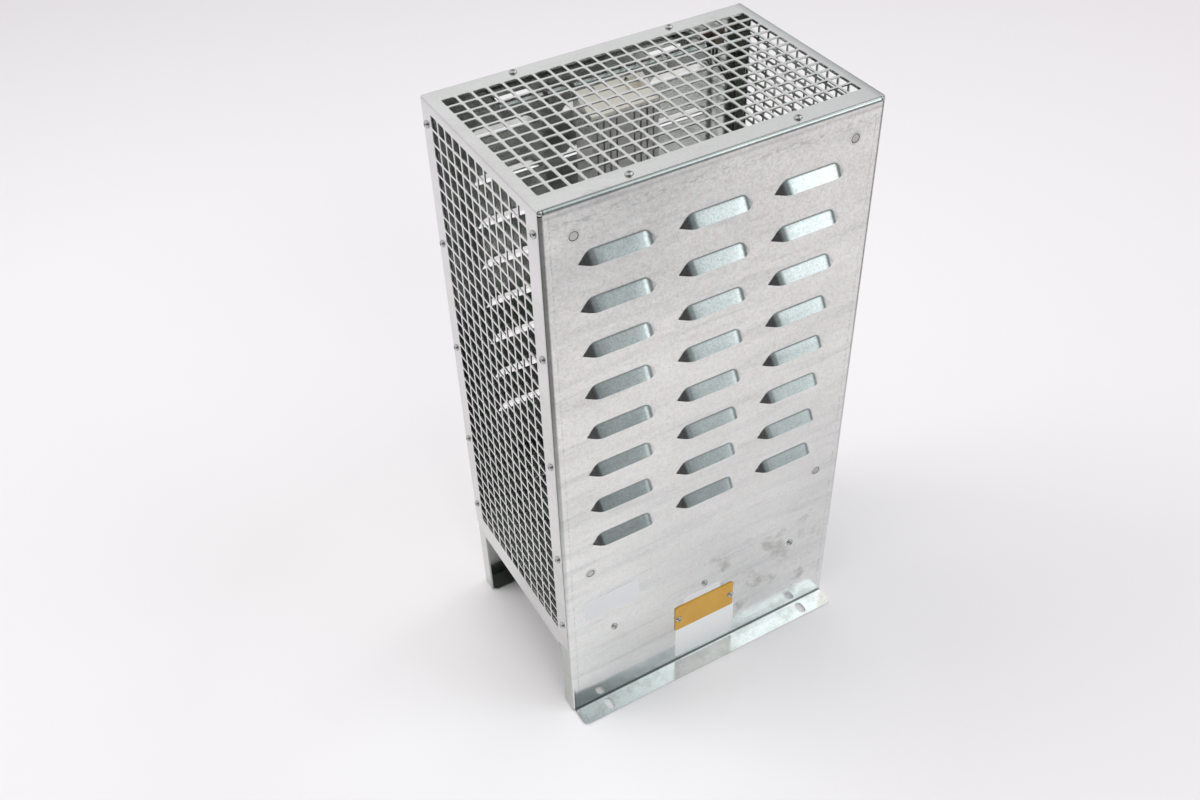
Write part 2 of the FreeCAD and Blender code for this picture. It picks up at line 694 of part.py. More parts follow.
def make_front_fittings():
    """Bare plate with its two screws and the three shelf screws."""
    body = new_body("Plate")
    half = dim("plate_width") / 2
    low = dim("plate_centre") - dim("plate_height") / 2
    outline = rectangle(-half, half, low, low + dim("plate_height"))
    pad(body, sketch_on(body, "PlateOutline", "XZ_Plane", "-Dims.front_y", [outline]),
        "Dims.plate_thickness")
    places = [(side * dim("plate_screw_pitch") / 2, dim("plate_centre")) for side in (-1, 1)]
    pocket(body, holes_on(body, "PlateHoles", "XZ_Plane",
                            "-Dims.front_y + Dims.plate_thickness + 1", shank_hole, places),
           "Dims.plate_thickness + 2")
    keep(body, "front_plate")
    face = front_y - dim("plate_thickness")
    screws = [cover_screw(Vector(x, face, z), Vector(0, 1, 0)) for x, z in places]
    feature("plate_screws", Part.makeCompound(screws))
    z = dim("shelf_level") - dim("shelf_screw_drop")
    screws = [cover_screw(Vector(step * dim("shelf_screw_x"), front_y, z), Vector(0, 1, 0))
              for step in (-1, 0, 1)]
    feature("shelf_screws", Part.makeCompound(screws))


def bushing_places():
    """Middles of the wire bushings in the shelf."""
    lead = dim("terminal_pole_pitch") / 2
    middle_y = (dim("body_front_y") + dim("body_rear_y")) / 2
    return [(-lead, middle_y), (lead, middle_y), (dim("thermal_x"), rear_y - dim("thermal_entry"))]


def switch_lead_y():
    """Depth of the thermal switch leads."""
    return rear_y - steel - dim("switch_plate_sheet") - dim("switch_reach") / 2


def make_shelf():
    """Shelf with down-turned front and rear flanges and up-turned side edges."""
    body = new_body("Shelf")
    y0 = front_y + steel
    y1 = rear_y - steel
    top = dim("shelf_level")
    under = dim("shelf_under")
    drop = top - dim("shelf_drop")
    profile = [(y0, drop), (y0, top), (y1, top), (y1, drop), (y1 - steel, drop),
               (y1 - steel, under), (y0 + steel, under), (y0 + steel, drop)]
    half = inner_half - bend_outside - dim("relief")
    base = pad(body, sketch_on(body, "ShelfProfile", "YZ_Plane",
                               "-(Dims.inner_half - Dims.bend_outside - Dims.relief)",
                               [profile]),
               "2 * (Dims.inner_half - Dims.bend_outside - Dims.relief)")
    inner = round_edges(body, base, "Dims.bend_inside",
                        lambda edge: runs_along(edge, 0, y0 + steel, under)
                        or runs_along(edge, 0, y1 - steel, under))
    round_edges(body, inner, "Dims.bend_outside",
                lambda edge: runs_along(edge, 0, y0, top) or runs_along(edge, 0, y1, top))
    wide = inner_half - steel - dim("shelf_side_gap")
    rim = top + dim("shelf_upturn")
    tray = [(-wide, under), (wide, under), (wide, rim), (wide - steel, rim),
            (wide - steel, top), (steel - wide, top), (steel - wide, rim), (-wide, rim)]
    pad(body, sketch_on(body, "TrayProfile", "XZ_Plane",
                        "-(Dims.front_y + Dims.steel + Dims.bend_outside)", [tray]),
        "Dims.box_depth - 2 * (Dims.steel + Dims.bend_outside)", True)
    screw_z = top - dim("shelf_screw_drop")
    places = [(step * dim("shelf_screw_x"), screw_z) for step in (-1, 0, 1)]
    pocket(body, holes_on(body, "ShelfScrewHoles", "XZ_Plane", "-Dims.front_y",
                            shank_hole, places), "2 * Dims.steel + 1")
    bushing = dim("grommet_bore") / 2 + dim("grommet_wall") + dim("fit_gap")
    pocket(body, holes_on(body, "BushingHoles", "XY_Plane", "Dims.shelf_level + 1",
                            bushing, bushing_places()), "Dims.steel + 2")
    keep(body, "shelf")


def rail(name, label, top_alias, notches):
    """Bridge rail: plan outline with legs and feet, folded edges, open notches."""
    body = new_body(name)
    top = dim(top_alias)
    low = top - dim("rail_height")
    half = dim("rail_half")
    wall_y = rear_y - steel
    foot = half + dim("foot_tab")
    y = rail_face_y
    plan = [(-half, y), (half, y), (half, wall_y - steel), (foot, wall_y - steel),
            (foot, wall_y), (half - steel, wall_y), (half - steel, y + steel),
            (steel - half, y + steel), (steel - half, wall_y), (-foot, wall_y),
            (-foot, wall_y - steel), (-half, wall_y - steel)]
    level = "Dims.%s - Dims.rail_height" % top_alias
    pad(body, sketch_on(body, name + "Plan", "XY_Plane", level, [plan]), "Dims.rail_height")
    hem = y + dim("rail_hem")
    edges = [[(y + 0.5 * steel, top - steel), (hem, top - steel), (hem, top),
              (y + 0.5 * steel, top)],
             [(y + 0.5 * steel, low), (hem, low), (hem, low + steel),
              (y + 0.5 * steel, low + steel)]]
    base = pad(body, sketch_on(body, name + "Hems", "YZ_Plane",
                               "-(Dims.rail_half - Dims.steel / 2)", edges),
               "2 * Dims.rail_half - Dims.steel")
    round_edges(body, base, "Dims.rail_bend_inside + Dims.steel",
                lambda edge: runs_along(edge, 0, y, top) or runs_along(edge, 0, y, low))
    if notches:
        notch = dim("rail_notch") / 2
        middles = [side * place for side in (-1, 1)
                   for place in (dim("body_width") / 2 + dim("bracket_sheet") / 2,
                                 dim("rail_notch_outer"))]
        cuts = [rectangle(x - notch, x + notch, top - dim("rail_notch_drop"), top + 1)
                for x in middles]
        pocket(body, sketch_on(body, name + "Notches", "XZ_Plane", "-Dims.rail_face_y + 1",
                               cuts), "Dims.rail_hem + 2")
    half_pitch = dim("body_width") / 4
    places = [(side * half_pitch, top - dim("rail_height") / 2) for side in (-1, 1)]
    pocket(body, holes_on(body, name + "Holes", "XZ_Plane", "-Dims.rail_face_y + 1",
                            small_hole, places), "2 * Dims.steel")
    keep(body, label)


def housing_outline():
    """Plan outline of the finned housing: grooves on both sides of a plain land."""
    half = dim("body_width") / 2
    front = dim("body_front_y")
    rear = dim("body_rear_y")
    inner = front + dim("groove_depth")
    right = []
    for index in range(count("grooves_per_side")):
        x = dim("groove_land") / 2 + index * dim("groove_pitch")
        wide = x + dim("groove_width")
        right += [(x, front), (x, inner), (wide, inner), (wide, front)]
    right.append((half, front))
    left = [(-x, y) for x, y in reversed(right)]
    return left + right + [(half, rear), (-half, rear)]


def chamber():
    """Plan rectangle of the long chamber in the housing."""
    middle = (dim("body_front_y") + dim("groove_depth") + dim("body_rear_y")) / 2
    half = dim("chamber_depth") / 2
    wide = dim("chamber_width") / 2
    return rectangle(-wide, wide, middle - half, middle + half), middle


def make_resistor():
    """Housing, filling, wound former and the two ceramic end caps."""
    body = new_body("Housing")
    hole, middle = chamber()
    pad(body, sketch_on(body, "HousingPlan", "XY_Plane", "Dims.body_bottom",
                        [housing_outline(), hole]), "Dims.body_length")
    places = [(side * dim("body_width") / 4,
               dim("lower_rail_level") - dim("rail_height") / 2) for side in (-1, 1)]
    pocket(body, holes_on(body, "HousingHoles", "XZ_Plane", "-Dims.body_rear_y - 1",
                            small_hole, places), "Dims.small_length - Dims.steel", True)
    keep(body, "resistor_housing")

    wide = dim("former_width") / 2
    deep = dim("former_depth") / 2
    former = rectangle(-wide, wide, middle - deep, middle + deep)
    wall = dim("winding_wall")
    wound = rectangle(-wide - wall, wide + wall, middle - deep - wall, middle + deep + wall)
    start = "Dims.body_bottom + Dims.chamber_end"
    length = "Dims.body_length - 2 * Dims.chamber_end"
    body = new_body("Filling")
    pad(body, sketch_on(body, "FillingPlan", "XY_Plane", start, [hole, wound]), length)
    keep(body, "cement_fill")
    body = new_body("Winding")
    pad(body, sketch_on(body, "WindingPlan", "XY_Plane", start, [wound, former]), length)
    keep(body, "resistor_winding")
    body = new_body("Former")
    pad(body, sketch_on(body, "FormerPlan", "XY_Plane", start, [former]), length)
    keep(body, "resistor_core")

    front = dim("body_front_y")
    rear = dim("body_rear_y")
    half = dim("body_width") / 2
    top = dim("body_top")
    body = new_body("CapTop")
    roof = [(front, top), (rear, top), (rear, top + dim("cap_high")),
            (front + 3, top + dim("cap_low")), (front, top + dim("cap_low"))]
    pad(body, sketch_on(body, "CapTopProfile", "YZ_Plane", "-Dims.body_width / 2", [roof]),
        "Dims.body_width")
    side = dim("cap_recess")
    recess = rectangle(half - 3 - 1.4 * side, half - 3, rear - 1.5 - side, rear - 1.5)
    pocket(body, sketch_on(body, "CapRecess", "XY_Plane", "Dims.body_top + Dims.cap_high + 1",
                           [recess]), "Dims.cap_high - Dims.cap_low + 1")
    z = dim("upper_rail_top") - dim("rail_height") / 2
    places = [(side_x * half / 2, z) for side_x in (-1, 1)]
    pocket(body, holes_on(body, "CapHoles", "XZ_Plane", "-Dims.body_rear_y - 1",
                            small_hole, places), "Dims.small_length - Dims.steel", True)
    keep(body, "end_cap_top")

    body = new_body("CapBottom")
    plan = rectangle(-half, half, front, rear)
    pad(body, sketch_on(body, "CapBottomPlan", "XY_Plane", "Dims.body_bottom", [plan]),
        "Dims.cap_bottom", True)
    lead_hole = dim("lead_diameter") / 2 + dim("fit_gap")
    pocket(body, holes_on(body, "LeadHoles", "XY_Plane", "Dims.body_bottom + 1",
                            lead_hole, bushing_places()[:2]), "Dims.cap_bottom + 2")
    keep(body, "end_cap_bottom")


def bracket(name, label, low, high, slope, rail_top):
    """Sheet bracket round the housing end: web on the rail and two cheeks."""
    body = new_body(name)
    front = dim("body_front_y")
    sheet_wall = dim("bracket_sheet")
    inner = dim("body_width") / 2
    outer = inner + sheet_wall
    y = rail_face_y
    plan = [(-outer, front), (-inner, front), (-inner, y - sheet_wall),
            (inner, y - sheet_wall), (inner, front), (outer, front), (outer, y), (-outer, y)]
    pad(body, sketch_on(body, name + "Plan", "XY_Plane", low, [plan]), high)
    z = dim(rail_top) - dim("rail_height") / 2
    if slope:
        top = dim("body_top")
        above = top + 2 * dim("cap_high")
        low_edge = top + dim("cap_low") + sheet_wall
        wedge_cut = [(front - sheet_wall, low_edge), (front + 3 * sheet_wall, low_edge),
                     (y - sheet_wall, top + dim("cap_high")), (y - sheet_wall, above),
                     (front - sheet_wall, above)]
        pocket(body, sketch_on(body, name + "Slope", "YZ_Plane",
                               "-Dims.body_width / 2 - 2 * Dims.bracket_sheet", [wedge_cut]),
               "Dims.body_width + 4 * Dims.bracket_sheet", True)
        low_z = dim(rail_top) - dim("rail_notch_drop") + dim("fit_gap")
        hooks = [rectangle(min(side * inner, side * outer), max(side * inner, side * outer),
                           low_z, top + dim("cap_high")) for side in (-1, 1)]
        pad(body, sketch_on(body, name + "Hooks", "XZ_Plane", "-Dims.rail_face_y + 0.2",
                            hooks), "2.5 * Dims.steel", True)
    places = [(side * inner / 2, z) for side in (-1, 1)]
    pocket(body, holes_on(body, name + "Holes", "XZ_Plane",
                            "-Dims.rail_face_y + 2 * Dims.bracket_sheet", small_hole, places),
           "3 * Dims.bracket_sheet")
    keep(body, label)


def make_brackets():
    """Upper and lower bracket with their screws from behind the rails."""
    bracket("BracketTop", "bracket_upper", "Dims.body_top - Dims.bracket_wrap",
            "Dims.bracket_wrap + Dims.cap_high", True, "upper_rail_top")
    bracket("BracketBottom", "bracket_lower", "Dims.body_bottom - Dims.cap_bottom",
            "Dims.cap_bottom + Dims.bracket_wrap", False, "lower_rail_level")
    for label, rail_top in (("bracket_screws_upper", "upper_rail_top"),
                            ("bracket_screws_lower", "lower_rail_level")):
        z = dim(rail_top) - dim("rail_height") / 2
        screws = [small_screw(Vector(side * dim("body_width") / 4, rail_face_y + steel, z),
                              Vector(0, -1, 0), dim("small_length")) for side in (-1, 1)]
        feature(label, Part.makeCompound(screws))


def wire(points, radius, bend):
    """Wire through points; each bend is drawn with two short chords."""
    route = [points[0]]
    for index in range(1, len(points) - 1):
        corner = points[index]
        before = points[index - 1].sub(corner).normalize()
        after = points[index + 1].sub(corner).normalize()
        half_angle = before.getAngle(after) / 2
        cut = bend / math.tan(half_angle)
        inward = Vector(before).add(after).normalize()
        to_centre = bend / math.sin(half_angle)
        route.append(corner.add(Vector(before) * cut))
        route.append(corner.add(inward * (to_centre - bend)))
        route.append(corner.add(Vector(after) * cut))
    route.append(points[-1])
    start = Rotation(Vector(0, 0, 1), route[1].sub(route[0]))
    outline = [start.multVec(point).add(route[0])
               for point in ring(radius, count("hole_sides"))]
    profile = Part.makePolygon(outline + [outline[0]])
    return Part.makePolygon(route).makePipeShell([profile], True, False, 1)


def make_leads():
    """Two resistor leads and the pair of thermal switch leads, down to the terminals."""
    block_rear = dim("terminal_y") + dim("terminal_depth") / 2
    inside = dim("terminal_depth") * 0.35
    pole_z = dim("pole_z")
    start_z = dim("body_bottom") + dim("chamber_end")
    for index, label in ((0, "lead_left"), (1, "lead_right")):
        x, y = bushing_places()[index]
        points = [Vector(x, y, start_z), Vector(x, y, pole_z),
                  Vector(x, block_rear - inside, pole_z)]
        feature(label, wire(points, dim("lead_diameter") / 2, 3 * dim("lead_diameter")))
    radius = dim("thermal_diameter") / 2
    seat_z = pole_z - dim("clamp_bore") / 2 + radius + dim("fit_gap")
    outer_pole = (count("terminal_poles") - 1) / 2 * dim("terminal_pole_pitch")
    tab_z = dim("box_height") - dim("switch_drop") - 0.5 * dim("switch_plate_height")
    turn_z = tab_z - dim("switch_reach")
    entry_z = turn_z - 2 * dim("thermal_aside")
    leads = []
    first_run = dim("shelf_under") - dim("grommet_bore")
    for side, run_z in ((-1, first_run), (1, first_run - 2 * dim("thermal_diameter"))):
        offset = side * radius * 1.4
        tab_x = dim("switch_x") + offset
        x, y = bushing_places()[2]
        x += offset
        pole_x = -side * outer_pole
        slope_y = block_rear + dim("terminal_depth") - 4 * side
        points = [Vector(tab_x, switch_lead_y(), tab_z),
                  Vector(tab_x, switch_lead_y(), turn_z),
                  Vector(x, y, entry_z), Vector(x, y, run_z),
                  Vector(pole_x, y - dim("grommet_bore") * (side + 1), run_z),
                  Vector(pole_x, slope_y, run_z),
                  Vector(pole_x, block_rear + inside, seat_z),
                  Vector(pole_x, block_rear - inside, seat_z)]
        leads.append(wire(points, radius, 2.4 * radius))
    feature("thermal_leads", Part.makeCompound(leads))


def make_bushings():
    """Insulating bushings with a flange above and below the shelf."""
    bore = dim("grommet_bore") / 2
    outside = bore + dim("grommet_wall")
    flange = outside + dim("grommet_flange")
    thick = dim("grommet_wall")
    top = dim("shelf_level")
    low = dim("shelf_under") - thick
    sides = count("head_sides")
    parts = []
    for x, y in bushing_places():
        neck = prism(ring(outside, sides, low, x, y), Vector(0, 0, top + thick - low))
        lower = prism(ring(flange, sides, low, x, y), Vector(0, 0, thick))
        upper = prism(ring(flange, sides, top, x, y), Vector(0, 0, thick))
        hole = prism(ring(bore, sides, low, x, y), Vector(0, 0, top + thick - low))
        parts.append(neck.fuse([lower, upper]).cut(hole).removeSplitter())
    feature("wire_bushings", Part.makeCompound(parts))


def make_switch():
    """Thermal switch: flange on the rear panel, round cap and two terminal tabs."""
    body = new_body("Switch")
    x = dim("switch_x")
    z = dim("box_height") - dim("switch_drop")
    half = dim("switch_plate_width") / 2
    high = dim("switch_plate_height") / 2
    flange = rectangle(x - half, x + half, z - high, z + high)
    pad(body, sketch_on(body, "SwitchFlange", "XZ_Plane", "-(Dims.rear_y - Dims.steel)",
                        [flange]), "Dims.switch_plate_sheet")
    seat = "-(Dims.rear_y - Dims.steel - Dims.switch_plate_sheet)"
    pad(body, holes_on(body, "SwitchCap", "XZ_Plane", seat, dim("switch_diameter") / 2 - 2,
                         [(x, z)]), "Dims.switch_reach")
    thin = dim("switch_plate_sheet") / 2
    tabs = []
    for side in (-1, 1):
        tab = x + side * dim("thermal_diameter") * 0.7
        tabs.append(rectangle(tab - thin, tab + thin, z - high, z))
    pad(body, sketch_on(body, "SwitchTabs", "XZ_Plane", seat, tabs),
        "Dims.switch_reach * 0.7")
    places = [(x + side * dim("switch_hole_pitch") / 2, z) for side in (-1, 1)]
    pocket(body, holes_on(body, "SwitchHoles", "XZ_Plane", seat + " + 1", small_hole,
                            places), "Dims.switch_plate_sheet + 2")
    keep(body, "thermal_switch")
    seat_y = rear_y - steel - dim("switch_plate_sheet")
    screws = [small_screw(Vector(hole_x, seat_y, hole_z), Vector(0, 1, 0),
                          dim("switch_plate_sheet") + steel) for hole_x, hole_z in places]
    feature("switch_screws", Part.makeCompound(screws))


def pole_positions():
    """Places of the terminal poles across the block."""
    middle = (count("terminal_poles") - 1) / 2
    return [(index - middle) * dim("terminal_pole_pitch")
            for index in range(count("terminal_poles"))]


def make_terminals():
    """Hanging carrier, ceramic block, brass clamps and clamp screws."""
    level = dim("carrier_level")
    half = dim("terminal_width") / 2 + 4
    foot = half + dim("foot_tab")
    top = dim("shelf_under")
    body = new_body("Carrier")
    hat = [(-foot, top), (-half, top), (-half, level), (half, level), (half, top),
           (foot, top), (foot, top - steel), (half + steel, top - steel),
           (half + steel, level - steel), (-half - steel, level - steel),
           (-half - steel, top - steel), (-foot, top - steel)]
    pad(body, sketch_on(body, "CarrierProfile", "XZ_Plane",
                        "-(Dims.terminal_y - Dims.terminal_depth / 2)", [hat]),
        "Dims.terminal_depth", True)
    keep(body, "terminal_carrier")

    body = new_body("Block")
    wide = dim("terminal_width") / 2
    high = dim("terminal_height")
    side_on = rectangle(-wide, wide, level, level + high)
    pad(body, sketch_on(body, "BlockProfile", "XZ_Plane",
                        "-(Dims.terminal_y - Dims.terminal_depth / 2)", [side_on]),
        "Dims.terminal_depth", True)
    clamp = dim("clamp_side") / 2
    pole_z = dim("pole_z")
    channels = [rectangle(x - clamp, x + clamp, pole_z - clamp, pole_z + clamp)
                for x in pole_positions()]
    pocket(body, sketch_on(body, "BlockChannels", "XZ_Plane",
                           "-(Dims.terminal_y - Dims.terminal_depth / 2 - 1)", channels),
           "Dims.terminal_depth + 2")
    places = [(x, dim("terminal_y")) for x in pole_positions()]
    pocket(body, holes_on(body, "BlockWells", "XY_Plane",
                            "Dims.carrier_level + Dims.terminal_height + 1",
                            dim("small_head") / 2 + dim("fit_gap"), places),
           "Dims.terminal_height * 0.6 + 1")
    keep(body, "terminal_block")

    bore = dim("clamp_bore") / 2
    y0 = dim("terminal_y") - dim("terminal_depth") / 2
    y1 = y0 + dim("terminal_depth")
    clamps = []
    screws = []
    for x in pole_positions():
        sleeve = block(x - clamp, x + clamp, y0, y1, pole_z - clamp, pole_z + clamp)
        sleeve = sleeve.cut(drill(bore, Vector(x, y0 - 1, pole_z), Vector(x, y1 + 1, pole_z)))
        middle = Vector(x, dim("terminal_y"), pole_z)
        sleeve = sleeve.cut(drill(small_hole, middle, middle.add(Vector(0, 0, 2 * clamp))))
        clamps.append(sleeve)
        seat = Vector(x, dim("terminal_y"), pole_z + clamp)
        screws.append(small_screw(seat, Vector(0, 0, -1), clamp))
    feature("terminal_clamps", Part.makeCompound(clamps))
    feature("terminal_screws", Part.makeCompound(screws))


def make_earth():
    """Earth stud under the shelf with washer and nut."""
    x = -dim("earth_x")
    y = dim("terminal_y")
    top = dim("shelf_under")
    radius = dim("earth_diameter") / 2
    stud = doc.addObject("Part::Cylinder", "EarthStud")
    stud.setExpression("Radius", "Dims.earth_diameter / 2")
    stud.setExpression("Height", "Dims.earth_length")
    stud.setExpression("Placement.Base.x", "-Dims.earth_x")
    stud.setExpression("Placement.Base.y", "Dims.terminal_y")
    stud.setExpression("Placement.Base.z", "Dims.shelf_under - Dims.earth_length")
    keep(stud, "earth_stud")
    gap = radius + dim("fit_gap")
    thick = dim("washer_thickness")
    low = top - thick - dim("nut_height")
    hole = drill(gap, Vector(x, y, low), Vector(x, y, top))
    washer = prism(ring(dim("washer_diameter") / 2, count("head_sides"), top - thick, x, y),
                   Vector(0, 0, thick))
    feature("earth_washer", washer.cut(hole))
    nut = prism(ring(dim("nut_width") / math.sqrt(3), 6, low, x, y),
                Vector(0, 0, dim("nut_height")))
    feature("earth_nut", nut.cut(hole))


make_front_panel()
make_rear_panel()
make_cover()
make_grilles()
make_cover_screws()
make_front_fittings()
make_shelf()
rail("RailTop", "rail_upper", "upper_rail_top", True)
rail("RailBottom", "rail_lower", "lower_rail_level", False)
make_resistor()
make_brackets()
make_leads()
make_bushings()
make_switch()
make_terminals()
make_earth()

doc.recompute()
for obj in doc.Objects:
    if "Invalid" in obj.State or "Error" in obj.State:
        raise RuntimeError("step not computed: " + obj.Name)
os.makedirs("parts", exist_ok=True)
for obj in nodes:
    shape = obj.Shape
    if shape.isNull() or not shape.isValid():
        raise RuntimeError("shape not valid: " + obj.Label)
    shape.exportStep("parts/" + obj.Label + ".step")
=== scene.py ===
import math
import random

import bpy
from mathutils import Matrix, Vector


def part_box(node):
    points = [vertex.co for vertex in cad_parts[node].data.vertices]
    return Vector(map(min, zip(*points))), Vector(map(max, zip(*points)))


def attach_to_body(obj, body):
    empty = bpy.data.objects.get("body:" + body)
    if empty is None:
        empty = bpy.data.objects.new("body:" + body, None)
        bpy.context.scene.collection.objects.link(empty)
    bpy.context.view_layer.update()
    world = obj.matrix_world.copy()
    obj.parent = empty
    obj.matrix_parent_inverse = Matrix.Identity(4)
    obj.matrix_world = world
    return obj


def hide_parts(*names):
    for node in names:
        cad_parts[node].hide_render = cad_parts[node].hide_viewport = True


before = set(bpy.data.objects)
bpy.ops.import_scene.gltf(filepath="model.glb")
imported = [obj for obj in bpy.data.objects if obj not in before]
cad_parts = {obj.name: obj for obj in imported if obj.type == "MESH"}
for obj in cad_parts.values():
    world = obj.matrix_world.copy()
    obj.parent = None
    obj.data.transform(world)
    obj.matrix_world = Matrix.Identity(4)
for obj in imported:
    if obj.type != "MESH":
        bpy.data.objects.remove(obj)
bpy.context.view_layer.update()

# Braking resistor in a louvred zinc box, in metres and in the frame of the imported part: +X right,
# -Y out of the louvred front, +Z up, the floor at zero.

MM = 0.001

# Places closer than this count as one.
NEAR = 1e-6

# Edges sharper than these angles, in degrees, stay hard.
SHEET_CREASE = 35
SCREW_CREASE = 40
FLAT_CREASE = 30
ROUND_CREASE = 60

# Sizes of the sheets, as in the part.
STEEL = 1.5 * MM
COVER_STEEL = 1.0 * MM
BEND_INSIDE = 0.6 * MM
BEND_OUTSIDE = BEND_INSIDE + STEEL
BEND_STEPS = 6
COVER_BEND = 2.0 * MM
COVER_BEND_STEPS = 5
RELIEF = 1.5 * MM
RETURN_DEPTH = 15.0 * MM
LEG_CLEARANCE = 0.8 * MM
FIT_GAP = 0.3 * MM
FOOT_REACH = 18.0 * MM
FOOT_INSET = 2.5 * MM
FOOT_CORNER = 4.0 * MM
FOOT_CORNER_STEPS = 6
SLOT_INSET = 31.5 * MM
SLOT_OFFSET = 9.5 * MM
SLOT_LENGTH = 12.0 * MM
SLOT_WIDTH = 7.0 * MM
SLOT_CORNER = SLOT_WIDTH / 2 - 0.01 * MM
SLOT_STEPS = 10
COVER_INSET = 2.0 * MM
CORNER_RISE = 8.5 * MM
CORNER_STEP = 0.3 * CORNER_RISE
CORNER_RUN = 15.0 * MM
HOLE_SIDE = 10.0 * MM
HOLE_CORNER = 1.1 * MM
HOLE_STEPS = 3
WEB = 2.0 * MM
PITCH = HOLE_SIDE + WEB
LOUVRE_ROWS = 8
LOUVRE_COLUMNS = 3
LOUVRE_PITCH_X = 76.0 * MM
LOUVRE_PITCH_Z = 37.7 * MM
LOUVRE_TOP = 48.3 * MM
LOUVRE_ASIDE = 2.5 * MM
LOUVRE_BASE = 60.5 * MM
LOUVRE_CREST = 44.8 * MM
LOUVRE_LIP = 43.6 * MM
LOUVRE_RISE = 10.0 * MM
LOUVRE_REACH = 6.5 * MM
LOUVRE_ROUNDING = 3.0 * MM
LOUVRE_FILLET = 1.1 * MM
LOUVRE_STEP = 0.8 * MM
LOUVRE_FINE_STEPS = 14
LOUVRE_COARSE = (13.0 * MM, 20.0 * MM, 26.0 * MM)
REAR_SLOT_INSET = 69.5 * MM
REAR_SLOT_LENGTH = 30.0 * MM
REAR_SLOT_HEIGHT = 4.5 * MM
REAR_SLOT_DROP = 21.0 * MM

# Places that the frame gives.
cover_low, cover_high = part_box("cover_sheet")
grille_low, grille_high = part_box("grille_left")
top_grille_low, top_grille_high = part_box("grille_top")
plate_low, plate_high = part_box("front_plate")
HALF_WIDTH = cover_high[0]
BOX_HEIGHT = cover_high[2]
COVER_BOTTOM = cover_low[2]
FRONT_Y = cover_low[1] - COVER_INSET
REAR_Y = cover_high[1] + COVER_INSET
INNER_HALF = HALF_WIDTH - COVER_STEEL
FLAT_HALF = INNER_HALF - BEND_OUTSIDE
FLAT_TOP = BOX_HEIGHT - COVER_STEEL - BEND_OUTSIDE
TOP_HALF = FLAT_HALF - RELIEF
FOOT_SLOT_X = HALF_WIDTH - SLOT_INSET

# Lengths of the unrolled sheets.
PANEL_ARC = BEND_OUTSIDE * math.pi / 2
COVER_ARC = COVER_BEND * math.pi / 2
COVER_BEND_Z = BOX_HEIGHT - COVER_BEND
UNROLLED = 2 * (COVER_BEND_Z + COVER_ARC + HALF_WIDTH - COVER_BEND)

# Screws. A head's profile has shares of its radius and height, the arms of its cross recess have
# shares of the radius, and the recess's floor has shares of arm, half width and height.
SCREW_HEAD = 6.0 * MM
SCREW_HEAD_HEIGHT = 1.8 * MM
HEAD_SIDES = 28
HEAD_PROFILE = ((1.0, 0.0), (1.0, 0.18), (0.97, 0.40), (0.90, 0.60), (0.80, 0.77), (0.68, 0.90),
                (0.57, 0.97))
CROSS_ARM = 0.50
CROSS_HALF = 0.12
CROSS_CORNERS = 12
CROSS_FLOOR = (0.55, 0.70, 0.35)
SCREW_MARGIN = 7.5 * MM
SIDE_SCREW_TOP = 20.0 * MM
SIDE_SCREW_PITCH = 100.5 * MM
SIDE_SCREW_ROWS = 4
SIDE_SCREW_LAST = 34.5 * MM
TOP_SCREW_INSET = 69.0 * MM

# Plate, labels, weld marks and corner beads. A label has its middle, size, corner radius and
# tilt. A mark's profile has radius and height in millimetres, and each of its rings of faces has
# a metal: 0 sheet, 1 dark ring, 2 worn.
PLATE_CORNER = 1.5 * MM
PAPER = 0.12 * MM
FLAT_STEPS = 5
EDGE_SHARE = 0.4
EDGE_MOST = 0.25 * MM
LABEL_UPPER = ((-2.2 * MM, 79.6 * MM), (37.5 * MM, 8.0 * MM), 2.0 * MM, 0.0)
LABEL_LOWER = ((1.5 * MM, 25.0 * MM), (61.0 * MM, 38.0 * MM), 1.0 * MM, 0.0)
LABEL_SIDE = ((-91.0 * MM, 124.4 * MM), (50.5 * MM, 23.5 * MM), 1.2 * MM, math.radians(1.2))
MARK_X = 110.0 * MM
MARK_LEVELS = (488.5 * MM, 169.4 * MM)
MARK_SIDES = 36
MARK_PROFILE = ((4.9, 0.0), (4.5, 0.06), (4.1, 0.16), (3.7, 0.24), (3.3, 0.22), (2.9, 0.12),
                (2.0, 0.07), (0.8, 0.09))
MARK_METALS = (2, 0, 0, 1, 1, 2, 2, 2)
BEAD_SHIFT = 0.1 * MM
BEAD_SLACK = 0.05 * MM
BEAD_ROWS = 10
BEAD_SIDES = 20

# Places of the wear and of the painted shade and light on the louvred panels. A pair runs from the
# least to the full effect, a band from its low to its high edge.
INSIDE_DEPTH = 0.8 * MM
INSIDE_SOFT = 0.4 * MM
HANDLED_UP = (160.0 * MM, 440.0 * MM)
LOW_SHADE_UP = (300.0 * MM, 120.0 * MM)
DIM_SHADE_UP = (390.0 * MM, 475.0 * MM)
DIM_SHADE_ACROSS = (80.0 * MM, -70.0 * MM)
RUBBED_BAND = (BOX_HEIGHT - 17.5 * MM, BOX_HEIGHT - 13.5 * MM)
RUBBED_SOFT = 3.0 * MM
SMUDGE_ACROSS = (20.0 * MM, 110.0 * MM)
SMUDGE_UP = (30.0 * MM, 115.0 * MM)
SMUDGE_SOFT = 30.0 * MM
FRONT_HALF = (20.0 * MM, -20.0 * MM)
DOT_BAND = (HALF_WIDTH - 7.7 * MM, HALF_WIDTH - 7.2 * MM)
DOT_SOFT = 0.4 * MM
SIDE_BEND_SHADE = (HALF_WIDTH - 4.0 * MM, HALF_WIDTH - 2.8 * MM)
SIDE_BEND_SHADE_UP = (100.0 * MM, 360.0 * MM)
CREASE_SHADE_UP = (1.3 * MM, 1.8 * MM)
CREASE_SHADE_OUT = (FRONT_Y - 1.2 * MM, FRONT_Y + 0.6 * MM)
TOP_BEND_SHADE = (FLAT_TOP - 0.3 * MM, FLAT_TOP + 0.4 * MM)
PRESS_SHADE = (FLAT_TOP - 4.4 * MM, FLAT_TOP - 3.0 * MM)
